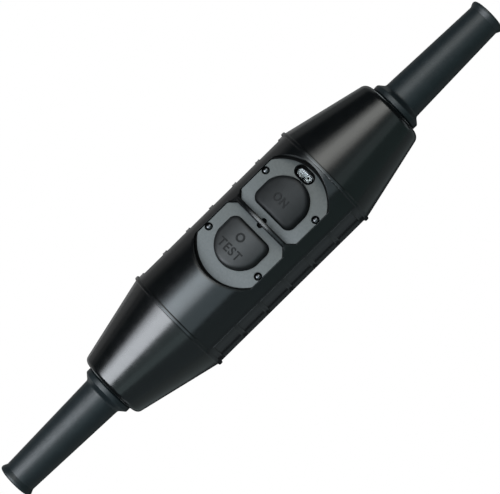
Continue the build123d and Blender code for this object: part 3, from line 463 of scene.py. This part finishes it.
def coil_group():
    """Group that winds a round wire into an upright coil on a place."""
    tree, identifiers = group_of("coil_on_place", (
        ("Turns", "Float"), ("Radius", "Float"), ("Height", "Float"), ("Wire", "Float"), ("Place", "Vector"),
        ("Finish", "Material")))
    given = tree.nodes.new("NodeGroupInput").outputs
    coil = tree.nodes.new("GeometryNodeCurveSpiral")
    coil.inputs["Resolution"].default_value = 28
    section = tree.nodes.new("GeometryNodeCurvePrimitiveCircle")
    section.inputs["Resolution"].default_value = 10
    move = tree.nodes.new("GeometryNodeSetPosition")
    wire = tree.nodes.new("GeometryNodeCurveToMesh")
    wire.inputs["Fill Caps"].default_value = True
    solid = tree.nodes.new("GeometryNodeRealizeInstances")
    dressed = tree.nodes.new("GeometryNodeSetMaterial")
    out = tree.nodes.new("NodeGroupOutput")
    join_all(tree, (
        (given["Turns"], coil.inputs["Rotations"]), (given["Radius"], coil.inputs["Start Radius"]),
        (given["Radius"], coil.inputs["End Radius"]), (given["Height"], coil.inputs["Height"]),
        (given["Wire"], section.inputs["Radius"]), (given["Place"], move.inputs["Offset"]),
        (coil.outputs[0], move.inputs["Geometry"]), (move.outputs[0], wire.inputs["Curve"]),
        (section.outputs[0], wire.inputs["Profile Curve"]), (wire.outputs[0], solid.inputs[0]),
        (solid.outputs[0], dressed.inputs["Geometry"]), (given["Finish"], dressed.inputs["Material"]),
        (dressed.outputs[0], out.inputs[0]),
    ))
    return tree, identifiers


repeat_on_places = places_group()
coil_on_place = coil_group()


def repeated(name, mesh, finish, columns, rows, length, width, middle, outwards=0.0):
    """One piece made of copies of a mesh."""
    return placed_mesh(name, grown_mesh(
        mesh, *repeat_on_places, Columns=columns, Rows=rows, Length=length, Width=width, Middle=middle,
        Outwards=outwards, Finish=finishes[finish]), finish)


# Lettering and a ring mark moulded on the buttons
mark_raised, mark_sunk, mark_edge = 0.00025, 0.00005, 0.00008


def lettering(name, words, middle, cap_height, length):
    """Raised letters that read along -Y, with their tops towards +X."""
    curve = bpy.data.curves.new(name, "FONT")
    curve.body = words
    curve.size = 1.0
    curve.extrude = 0.5
    curve.offset = 0.018
    curve.space_character = 1.15
    curve.resolution_u = 6
    carrier = bpy.data.objects.new(name + "_curve", curve)
    scene.collection.objects.link(carrier)
    mesh = evaluated_mesh(carrier)
    low = Vector([min(v.co[i] for v in mesh.vertices) for i in range(3)])
    high = Vector([max(v.co[i] for v in mesh.vertices) for i in range(3)])
    for vertex in mesh.vertices:
        across = ((vertex.co.x - low.x) / (high.x - low.x) - 0.5) * length
        upward = ((vertex.co.y - low.y) / (high.y - low.y) - 0.5) * cap_height
        height = button_top + (mark_raised if vertex.co.z > 0 else -mark_sunk)
        vertex.co = (middle[0] + upward, middle[1] - across, height)
    return mesh


def ring_mark(name, middle, radius, stroke):
    """Raised ring with a softened top edge."""
    return turned(name, ring_profile(radius - stroke / 2, radius + stroke / 2, button_top - mark_sunk,
                                     button_top + mark_raised, mark_edge), middle)


for name, mesh, body in (
    ("test_lettering", lettering("test_lettering", "TEST", (-0.0079, 0.0013), 0.0047, 0.0144), "test_push"),
    ("test_ring_mark", ring_mark("test_ring_mark", (-0.0003, 0.0015), 0.0019, 0.001), "test_push"),
    ("on_lettering", lettering("on_lettering", "ON", (0.0266, 0.00095), 0.0046, 0.0083), "on_push"),
):
    piece = placed_mesh(name, mesh, "button_lettering")
    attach(piece, body)


def threads(radius, depth, pitch, start, end):
    """Profile of a screw's thread from one height to another, as ridges."""
    count = round(abs(end - start) / pitch)
    step = (end - start) / count
    points = []
    for turn in range(count):
        points.append((radius - depth, start + step * turn))
        points.append((radius, start + step * (turn + 0.5)))
    points.append((radius - depth, end))
    return points


def hexagon_outline(radius):
    """Outline of a hexagon socket."""
    return [(radius * cos(pi / 3 * corner), radius * sin(pi / 3 * corner)) for corner in range(6)]


def cross_outline(reach, half_width):
    """Outline of a cross recess."""
    corner = [(reach, -half_width), (reach, half_width), (half_width, half_width)]
    points = []
    for quarter in range(4):
        turn_cos, turn_sin = round(cos(pi / 2 * quarter)), round(sin(pi / 2 * quarter))
        points += [(x * turn_cos - y * turn_sin, x * turn_sin + y * turn_cos) for x, y in corner]
    return points


def prism(name, outline, low, high):
    """Upright prism over an outline of (x, y) points."""
    return stacked(name, [[(x, y, height) for x, y in outline] for height in (low, high)])


# Dome-headed plate screws with a hexagon socket, and near-black rings round their heads, painted shade for the
# dark gap round each dome
screw_low, screw_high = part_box("plate_screws")
dome_radius, dome_height, dome_steps, head_depth = 0.00175, 0.0009, 12, 0.0014
shank_radius, thread_depth, thread_pitch, thread_start, thread_end = 0.0012, 0.0002, 0.0005, 0.0004, 0.0003
socket_radius, socket_depth, key_over = 0.0005, 0.0008, 0.001
dome_seat = screw_high.z - head_depth
ball = (dome_radius ** 2 + dome_height ** 2) / (2 * dome_height)
dome_profile = [(0, screw_high.z)]
for step in range(1, dome_steps + 1):
    angle = asin(dome_radius / ball) * step / dome_steps
    dome_profile.append((ball * sin(angle), screw_high.z - ball * (1 - cos(angle))))
dome_profile += [(dome_radius, dome_seat), (shank_radius, dome_seat)]
dome_profile += threads(shank_radius, thread_depth, thread_pitch, dome_seat - thread_start,
                        screw_low.z + thread_end)
dome_profile += [(0, screw_low.z)]
dome_screw = carved(turned("dome_screw", dome_profile, (0, 0)),
                    prism("hexagon_key", hexagon_outline(socket_radius), screw_high.z - socket_depth,
                          screw_high.z + key_over))
screw_middle = (*box_middle(screw_low, screw_high), 0)
screw_length = screw_high.x - screw_low.x - 2 * dome_radius
screw_width = screw_high.y - screw_low.y - 2 * dome_radius
plate_screws = repeated("plate_screws_domed", dome_screw, "dome_steel", 2, 2, screw_length, screw_width,
                        screw_middle)
# Near-black rings round the domes: painted shade standing for the shadow in the gap
shade_ring_inner, shade_ring_outer, shade_ring_height, shade_ring_edge = 0.00178, 0.00208, 0.00045, 0.0001
dome_shade_ring = turned("dome_shade_ring", ring_profile(shade_ring_inner, shade_ring_outer, dome_seat, dome_seat + shade_ring_height, shade_ring_edge),
              (0, 0))
plate_screw_shade_rings = repeated("plate_screw_shade_rings", dome_shade_ring, "lamp_bezel", 2, 2, screw_length, screw_width,
                             screw_middle)
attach(plate_screws, "housing")
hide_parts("plate_screws")
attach(plate_screw_shade_rings, "housing")

# Housing screws from below, each with a cross recess, the middle pair further out
screw_low, screw_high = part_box("housing_screws")
head_radius, head_height, head_edge = 0.0027, 0.0024, 0.0003
shank_radius, thread_depth, thread_pitch, thread_start, thread_end = 0.0015, 0.0003, 0.0008, 0.004, 0.0005
cross_reach, cross_half_width, cross_depth, end_shift = 0.0016, 0.0003, 0.0013, 0.0195
head_top = screw_low.z + head_height
housing_profile = [(0, screw_low.z), (head_radius - 2 * head_edge, screw_low.z),
                   (head_radius - head_edge / 2, screw_low.z + head_edge / 2),
                   (head_radius, screw_low.z + 2 * head_edge), (head_radius, head_top),
                   (shank_radius, head_top)]
housing_profile += threads(shank_radius, thread_depth, thread_pitch, head_top + thread_start,
                           screw_high.z - thread_end)
housing_profile += [(0, screw_high.z)]
housing_screw = carved(turned("housing_screw", housing_profile, (0, 0)),
                       prism("cross_key", cross_outline(cross_reach, cross_half_width),
                             screw_low.z - key_over, screw_low.z + cross_depth))
housing_screws = repeated("housing_screws_crossed", housing_screw, "screw_steel", 3, 2,
                          screw_high.x - screw_low.x - 2 * head_radius, 2 * end_shift, (0, 0, 0),
                          screw_high.y - head_radius - end_shift)
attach(housing_screws, "housing")
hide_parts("housing_screws")

# Coil springs wound in the places of the two button springs and the contact carrier's spring
spring_wire, spring_play = 0.0006, 0.00003
for node_name, joint, travel, turns in (
    ("test_spring", "test_press", 0.002, 5), ("on_spring", "on_press", 0.002, 5),
    ("carrier_spring", "contact_close", 0.003, 6),
):
    spring_low, spring_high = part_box(node_name)
    spring_height = spring_high.z - spring_low.z
    spring_place = Vector((*box_middle(spring_low, spring_high), spring_low.z + spring_wire / 2 + spring_play))
    wound = bmesh.new()
    wound.from_mesh(grown_mesh(
        bpy.data.meshes.new(node_name), *coil_on_place, Turns=turns,
        Radius=(spring_high.x - spring_low.x - spring_wire) / 2,
        Height=spring_height - spring_wire - 2 * spring_play, Wire=spring_wire / 2,
        Place=spring_place, Finish=finishes["spring_steel"]))
    coil_spring = placed_mesh(node_name + "_coiled", closed_mesh(node_name, wound), "spring_steel")
    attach(coil_spring, "housing")
    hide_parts(node_name)
    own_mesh(coil_spring)

# Fine bead that the mould leaves round the upper three sides of each grip bay
grip_angle, bead_lowest, end_bead_steps, bead_sides = radians(28), radians(-6), 10, 12
ring_place, grip_end_gap, grip_rib_width, bay_count = 0.051, 0.00261, 0.002, 6
bay_pitch = 2 * (ring_place - grip_end_gap) / bay_count
bay_reach = (bay_pitch - grip_rib_width) / 2
edge_bead_radius, edge_bead_sunk, end_bead_radius, end_bead_sunk = 0.00012, 0.00004, 0.00035, 0.0002


def bead(hand, path, bead_radius, bead_reach):
    """Rod round a path of (x, angle) points on the body's side."""
    lengthwise = path[0][0] != path[-1][0]
    rings = []
    for x, angle in path:
        radial = Vector((0, hand * cos(angle), sin(angle)))
        sideways = Vector((0, -hand * sin(angle), cos(angle))) if lengthwise else Vector((1, 0, 0))
        middle = Vector((x, 0, 0)) + bead_reach * radial
        rings.append([])
        for side in range(bead_sides):
            turn = 2 * pi * side / bead_sides
            rings[-1].append(middle + bead_radius * (cos(turn) * sideways + sin(turn) * radial))
    return stacked("grip_bead", rings)


grip_form = bmesh.new()
for hand in (-1, 1):
    grip_form.from_mesh(bead(hand, [(-bay_reach, grip_angle), (bay_reach, grip_angle)], edge_bead_radius,
                             body_radius - edge_bead_sunk))
    for x in (-bay_reach, bay_reach):
        end_path = [(x, grip_angle + (bead_lowest - grip_angle) * step / end_bead_steps)
                    for step in range(end_bead_steps + 1)]
        grip_form.from_mesh(bead(hand, end_path, end_bead_radius, body_radius - end_bead_sunk))
grip_beads = repeated("grip_beads", closed_mesh("grip_frame", grip_form), "shell_black", bay_count, 1,
                      bay_pitch * (bay_count - 1), 0.0, (0, 0, axis_height))
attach(grip_beads, "housing")

# Near-black discs in the two lifting notches beside the web: painted shade for the dark hole under each notch
notch_shift, notch_floor, notch_shade_radius, notch_shade_height = 0.0013, 0.0461, 0.0014, 0.0006
for side, name in ((-1, "notch_shade_test"), (1, "notch_shade_on")):
    notch_shade_disc = placed_mesh(name, turned(
        name, disc_profile(notch_shade_radius, notch_floor, notch_floor + notch_shade_height),
        (plate_pair_middle + side * notch_shift, 0), turns=32), "lamp_bezel")
    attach(notch_shade_disc, "housing")

# Black bands that cover the gap round each plate and the plate's rim: painted shade for the dark gap there
arc_radius, plate_reach, plate_half_width, plate_corner, web_half_gap = 0.0246, 0.03625, 0.0197, 0.0032, 0.00125
plate_heart = Vector((0.019, 0))
gap_shade_rays = 288
gap_shade_outer, gap_shade_foot, gap_shade_inner, gap_shade_height, gap_shade_depth = 0.00028, 0.00002, -0.00035, 0.00018, 0.0006
gap_shade_lift = 0.00001
side_share, inner_web_share, inner_arc_share = 0.2, 0.05, 2


def plate_edge(side, margin, height):
    """Ring of points round a plate's outline, moved out by a margin. The outline is an arc, two sides, two
    corner chamfers and the side along the web. The margin is smaller along the two sides, and one that goes
    inwards is smaller still along the web and wider at the arc."""
    web_margin = inner_web_share * margin if margin < 0 else margin
    arc_margin = inner_arc_share * margin if margin < 0 else margin
    diagonal = 1 / 2 ** 0.5
    limits = [(Vector((-1, 0)), -web_half_gap + web_margin)]
    for hand in (-1, 1):
        limits.append((Vector((0, hand)), plate_half_width + side_share * margin))
        limits.append((Vector((-diagonal, hand * diagonal)),
                       diagonal * (plate_half_width - web_half_gap - plate_corner) + margin))
    points = []
    for ray in range(gap_shade_rays):
        along = Vector((cos(2 * pi * ray / gap_shade_rays), sin(2 * pi * ray / gap_shade_rays)))
        lengths = [(limit - normal.dot(plate_heart)) / normal.dot(along)
                   for normal, limit in limits if normal.dot(along) > 1e-6]
        from_arc = plate_heart - Vector((plate_reach - arc_radius, 0))
        half = from_arc.dot(along)
        lengths.append((half ** 2 - from_arc.length_squared + (arc_radius + arc_margin) ** 2) ** 0.5 - half)
        point = plate_heart + along * min(lengths)
        points.append((plate_pair_middle + side * point.x, side * point.y, height))
    return points


for side, name in ((-1, "test_plate_gap_shade"), (1, "on_plate_gap_shade")):
    gap_shade_band = placed_mesh(name, stacked(name, [
        plate_edge(side, margin, plate_top + rise)
        for margin, rise in ((gap_shade_outer, -gap_shade_depth), (gap_shade_outer, gap_shade_height), (gap_shade_inner, gap_shade_height),
                             (gap_shade_inner, gap_shade_lift), (gap_shade_foot, gap_shade_lift), (gap_shade_foot, -gap_shade_depth))
    ], closed=True), "lamp_bezel")
    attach(gap_shade_band, "housing")

# Indicator: a near-black ring on the window's floor, painted shade for the dark recess round the lamp, round a
# silvered lamp body with its lamp and a clear cover
lens_low, lens_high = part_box("indicator_lens")
lens_x, lens_y = box_middle(lens_low, lens_high)
flange_length, flange_width, flange_height = 0.0119, 0.0069, 0.001
window_floor, floor_shade_height = 0.0437, 0.0006
floor_shade_length, floor_shade_width, light_hole_length, light_hole_width = 0.0118, 0.0068, 0.0089, 0.0043
cover_length, cover_width, cover_round, cover_shift = 0.0088, 0.0037, 0.0003, -0.0004
cover_steps, oval_steps = 5, 64
dish_depth, dish_steps, dish_share = 0.00025, 8, 0.1
lamp_top = lens_high.z - 0.0010
cover_low = lamp_top + 0.0002
flange_top = lens_low.z + flange_height
dish_floor = lamp_top - dish_depth
lamp_place = (lens_x - 0.0002, lens_y - 0.0022)
chip_place = (lamp_place[0] - 0.0005, lamp_place[1] + 0.0002)
vent_place = (lens_x - 0.0014, lens_y - 0.0004)


def oval(length, width, z, shift_x=0.0):
    """Ring of points on an oval that is long across the part, in the indicator's place."""
    points = []
    for step in range(oval_steps):
        angle = 2 * pi * (step + 0.5) / oval_steps
        shift_y = (length - width) / 2 * (1 if sin(angle) > 0 else -1)
        points.append((lens_x + shift_x + width / 2 * cos(angle), lens_y + shift_y + width / 2 * sin(angle), z))
    return points


floor_shade_rings = [oval(floor_shade_length, floor_shade_width, window_floor),
              oval(floor_shade_length, floor_shade_width, window_floor + floor_shade_height),
              oval(light_hole_length, light_hole_width, window_floor + floor_shade_height),
              oval(light_hole_length, light_hole_width, window_floor)]
lamp_rings = [oval(flange_length, flange_width, lens_low.z), oval(flange_length, flange_width, flange_top),
              oval(cover_length, cover_width, flange_top, cover_shift),
              oval(cover_length, cover_width, lamp_top, cover_shift)]
for step in range(1, dish_steps + 1):
    share = 1 - dish_share * step
    lamp_rings.append(oval(cover_length * share, cover_width * share,
                           lamp_top - dish_depth * sin(pi / 2 * step / dish_steps), cover_shift))
cover_rings = [oval(cover_length, cover_width, cover_low, cover_shift),
               oval(cover_length, cover_width, lens_high.z - cover_round, cover_shift)]
for step in range(1, cover_steps + 1):
    turn_in = pi / 2 * step / cover_steps
    shrink = 2 * cover_round * (1 - cos(turn_in))
    cover_rings.append(oval(cover_length - shrink, cover_width - shrink,
                            lens_high.z - cover_round + cover_round * sin(turn_in), cover_shift))
ring_section = [(0.0008, dish_floor), (0.0008, lamp_top + 0.00005), (0.0009, lamp_top + 0.00015),
                (0.00115, lamp_top + 0.00015), (0.00128, lamp_top + 0.00005), (0.00128, dish_floor)]
well_section = disc_profile(0.00085, dish_floor, lamp_top - 0.0001)
chip_section = [(0, lamp_top + 0.0001), (0.0002, lamp_top + 0.00006), (0.0003, lamp_top - 0.00005),
                (0.0003, dish_floor), (0, dish_floor)]
vent_section = disc_profile(0.0007, dish_floor, lamp_top + 0.0001)
for name, mesh, finish in (
    ("indicator_floor_shade", stacked("indicator_floor_shade", floor_shade_rings, closed=True), "lamp_bezel"),
    ("indicator_lamp_body", stacked("indicator_lamp_body", lamp_rings), "lamp_silver"),
    ("indicator_lamp_ring", turned("indicator_lamp_ring", ring_section, lamp_place, turns=32), "lamp_ring"),
    ("indicator_lamp_well", turned("indicator_lamp_well", well_section, lamp_place, turns=32), "lamp_bezel"),
    ("indicator_lamp_chip", turned("indicator_lamp_chip", chip_section, chip_place, turns=24), "lamp_ring"),
    ("indicator_lamp_vent", turned("indicator_lamp_vent", vent_section, vent_place, turns=24), "lamp_bezel"),
    ("indicator_cover", stacked("indicator_cover", cover_rings), "clear_lens"),
):
    piece = placed_mesh(name, mesh, finish)
    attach(piece, "housing")
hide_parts("indicator_lens")

# Floor, pale to the camera and seen from above only
floor_reach = 2
floor_mesh = bpy.data.meshes.new("floor")
floor_mesh.from_pydata([(-floor_reach, -floor_reach, 0), (floor_reach, -floor_reach, 0),
                        (floor_reach, floor_reach, 0), (-floor_reach, floor_reach, 0)], [], [(0, 1, 2, 3)])
floor = bpy.data.objects.new("floor", floor_mesh)
scene.collection.objects.link(floor)
paper = bpy.data.materials.new("white_paper")
paper.use_nodes = True
paper_nodes = paper.node_tree.nodes
paper_nodes.clear()
paper_glow = paper_nodes.new("ShaderNodeEmission")
paper_glow.inputs["Color"].default_value = (1, 1, 1, 1)
paper_clear = paper_nodes.new("ShaderNodeBsdfTransparent")
paper_side = paper_nodes.new("ShaderNodeNewGeometry")
paper_mix = paper_nodes.new("ShaderNodeMixShader")
paper_out = paper_nodes.new("ShaderNodeOutputMaterial")
join_all(paper.node_tree, (
    (paper_side.outputs["Backfacing"], paper_mix.inputs[0]), (paper_glow.outputs[0], paper_mix.inputs[1]),
    (paper_clear.outputs[0], paper_mix.inputs[2]), (paper_mix.outputs[0], paper_out.inputs["Surface"]),
))
floor.data.materials.append(paper)
for ray in ("diffuse", "glossy", "transmission", "shadow"):
    setattr(floor, f"visible_{ray}", False)

# White surroundings for the camera, dim ones for the part
world = bpy.data.worlds.new("studio")
scene.world = world
world.use_nodes = True
sky = world.node_tree.nodes
sky.clear()
seen = sky.new("ShaderNodeBackground")
seen.inputs["Color"].default_value = (1, 1, 1, 1)
seen.inputs["Strength"].default_value = 1.0
felt = sky.new("ShaderNodeBackground")
felt.inputs["Color"].default_value = (0.9, 1.0, 1.08, 1)
felt.inputs["Strength"].default_value = 0.03
rays = sky.new("ShaderNodeLightPath")
sky_mix = sky.new("ShaderNodeMixShader")
sky_out = sky.new("ShaderNodeOutputWorld")
join_all(world.node_tree, (
    (rays.outputs["Is Camera Ray"], sky_mix.inputs[0]), (felt.outputs[0], sky_mix.inputs[1]),
    (seen.outputs[0], sky_mix.inputs[2]), (sky_mix.outputs[0], sky_out.inputs["Surface"]),
))

# Camera at the photograph's angle: a long lens, leaning to the -Y side, rolled along the part
camera_lean = radians(15.25)
camera_roll = radians(44.57)
camera_distance = 0.98
picture_enlarged = 1.0072
camera_view = radians(14.6) / picture_enlarged
film_width = 36
aim_along, aim_across = -0.00015, 0.00117
towards_camera = Vector((0, -sin(camera_lean), cos(camera_lean)))
across_part = Vector((0, cos(camera_lean), sin(camera_lean)))
along_part = Vector((1, 0, 0))
aim = Vector((0, 0, axis_height)) + aim_along * along_part + aim_across * across_part
picture_right = cos(camera_roll) * along_part - sin(camera_roll) * across_part
picture_up = sin(camera_roll) * along_part + cos(camera_roll) * across_part
lens = bpy.data.cameras.new("camera")
lens.sensor_fit = "HORIZONTAL"
lens.sensor_width = film_width
lens.lens = film_width / 2 / tan(camera_view / 2)
lens.clip_start = 0.01
camera = bpy.data.objects.new("camera", lens)
scene.collection.objects.link(camera)
turn = Matrix((picture_right, picture_up, towards_camera)).transposed().to_4x4()
camera.matrix_world = Matrix.Translation(aim + camera_distance * towards_camera) @ turn
scene.camera = camera


# Soft boxes, each given by the angles that it covers as seen from the part
def direction(turn_angle, lean_angle):
    """Direction that is turned about the part's length and leans towards its end."""
    return (towards_camera * cos(turn_angle) * cos(lean_angle)
            + across_part * sin(turn_angle) * cos(lean_angle) + along_part * sin(lean_angle))


def soft_box(name, turn_from, turn_to, lean_from, lean_to, radiance, colour, away=1.3):
    """Area light that fills a window of directions with an even radiance."""
    turn_middle = radians((turn_from + turn_to) / 2)
    lean_middle = radians((lean_from + lean_to) / 2)
    facing = direction(turn_middle, lean_middle)
    lengthwise = (along_part - facing * along_part.dot(facing)).normalized()
    crosswise = facing.cross(lengthwise)
    light = bpy.data.lights.new(name, "AREA")
    light.shape = "RECTANGLE"
    light.size = 2 * away * tan(radians(lean_to - lean_from) / 2)
    light.size_y = 2 * away * tan(radians(turn_to - turn_from) / 2) * cos(lean_middle)
    light.energy = radiance * pi * light.size * light.size_y
    light.color = colour
    lamp = bpy.data.objects.new(name, light)
    scene.collection.objects.link(lamp)
    lamp.matrix_world = (Matrix.Translation(Vector((0, 0, axis_height)) + away * facing)
                         @ Matrix((lengthwise, crosswise, facing)).transposed().to_4x4())
    lamp.visible_camera = False


def graded_box(name, lean_from, lean_to, colour, radiance, shares):
    """Soft box that falls off towards its edges: (from, to, share of the radiance) for each strip of it."""
    for number, (turn_from, turn_to, share) in enumerate(shares):
        soft_box(f"{name}_{number}", turn_from, turn_to, lean_from, lean_to, radiance * share, colour)


left_shares = ((8, 40, 1.0), (40, 48, 0.84), (48, 56, 0.5), (56, 62, 0.12))
middle_shares = ((1, 6, 0.52), (6, 12, 0.74), (12, 20, 0.9), (20, 34, 1.0), (34, 39, 0.9), (39, 45, 0.48),
                 (45, 51, 0.2), (51, 58, 0.07))
right_shares = ((-2, 4, 0.12), (4, 10, 0.4), (10, 18, 0.74), (18, 42, 1.0), (42, 50, 0.6), (50, 58, 0.25))
for light_box in (
    ("key_left", -50, -14, (0.95, 1.0, 1.06), 11.4, left_shares),
    ("key_middle", -14, -2, (0.88, 1.0, 1.08), 6.9, middle_shares),
    ("key_centre", -2, 4, (0.88, 1.0, 1.07), 5.1, middle_shares),
    ("key_near_right", 4, 18, (0.92, 1.0, 1.0), 4.15, right_shares),
    ("key_right", 18, 50, (0.99, 1.0, 0.96), 3.95, right_shares),
    ("fill_left", -50, -14, (0.78, 1.0, 1.02), 0.95, ((-20, 8, 0.6), (-38, -20, 1.0))),
    ("fill_middle", -14, 6, (0.8, 1.0, 1.09), 1.28, ((-35, 1, 1.0),)),
    ("fill_right", 6, 50, (0.8, 1.0, 1.0), 0.62, ((-18, -2, 0.55), (-38, -18, 1.0))),
    ("low_left", -45, 0, (0.8, 1.0, 1.05), 0.29, ((-90, -37, 1.0),)),
    ("low_right", 0, 45, (0.66, 1.0, 0.96), 0.25, ((-90, -38, 1.0),)),
    ("low_edge_left", -50, -14, (0.85, 1.0, 1.0), 0.31, ((-152, -90, 1.0),)),
    ("low_edge_middle", -14, 14, (0.85, 1.0, 1.05), 0.33, ((-118, -90, 1.0), (-132, -118, 0.6))),
    ("low_edge_right", 14, 50, (0.85, 1.0, 1.0), 0.25, ((-148, -90, 1.0),)),
    ("high_edge_left", -50, -14, (1.0, 1.0, 1.0), 0.36, ((95, 110, 0.4), (110, 140, 0.85), (140, 165, 1.3))),
    ("high_edge_middle", -14, 14, (1.0, 1.0, 1.0), 0.21, ((98, 108, 0.5), (108, 135, 1.1), (135, 165, 1.6))),
    ("high_edge_right", 14, 50, (0.95, 1.0, 1.0), 0.20, ((108, 135, 0.9), (135, 165, 1.5))),
):
    graded_box(*light_box)
# Towards both ends, past what the long faces mirror to the camera, so that the other sides are lit too
for end, near_end, far_end in (("left", -64, -42), ("right", 42, 64)):
    graded_box(f"round_back_{end}", near_end, far_end, (0.9, 1.0, 1.04), 1.1, ((152, 196, 1.0),))
    graded_box(f"round_front_{end}", near_end, far_end, (0.9, 1.0, 1.04), 0.9, ((-104, -72, 1.0),))
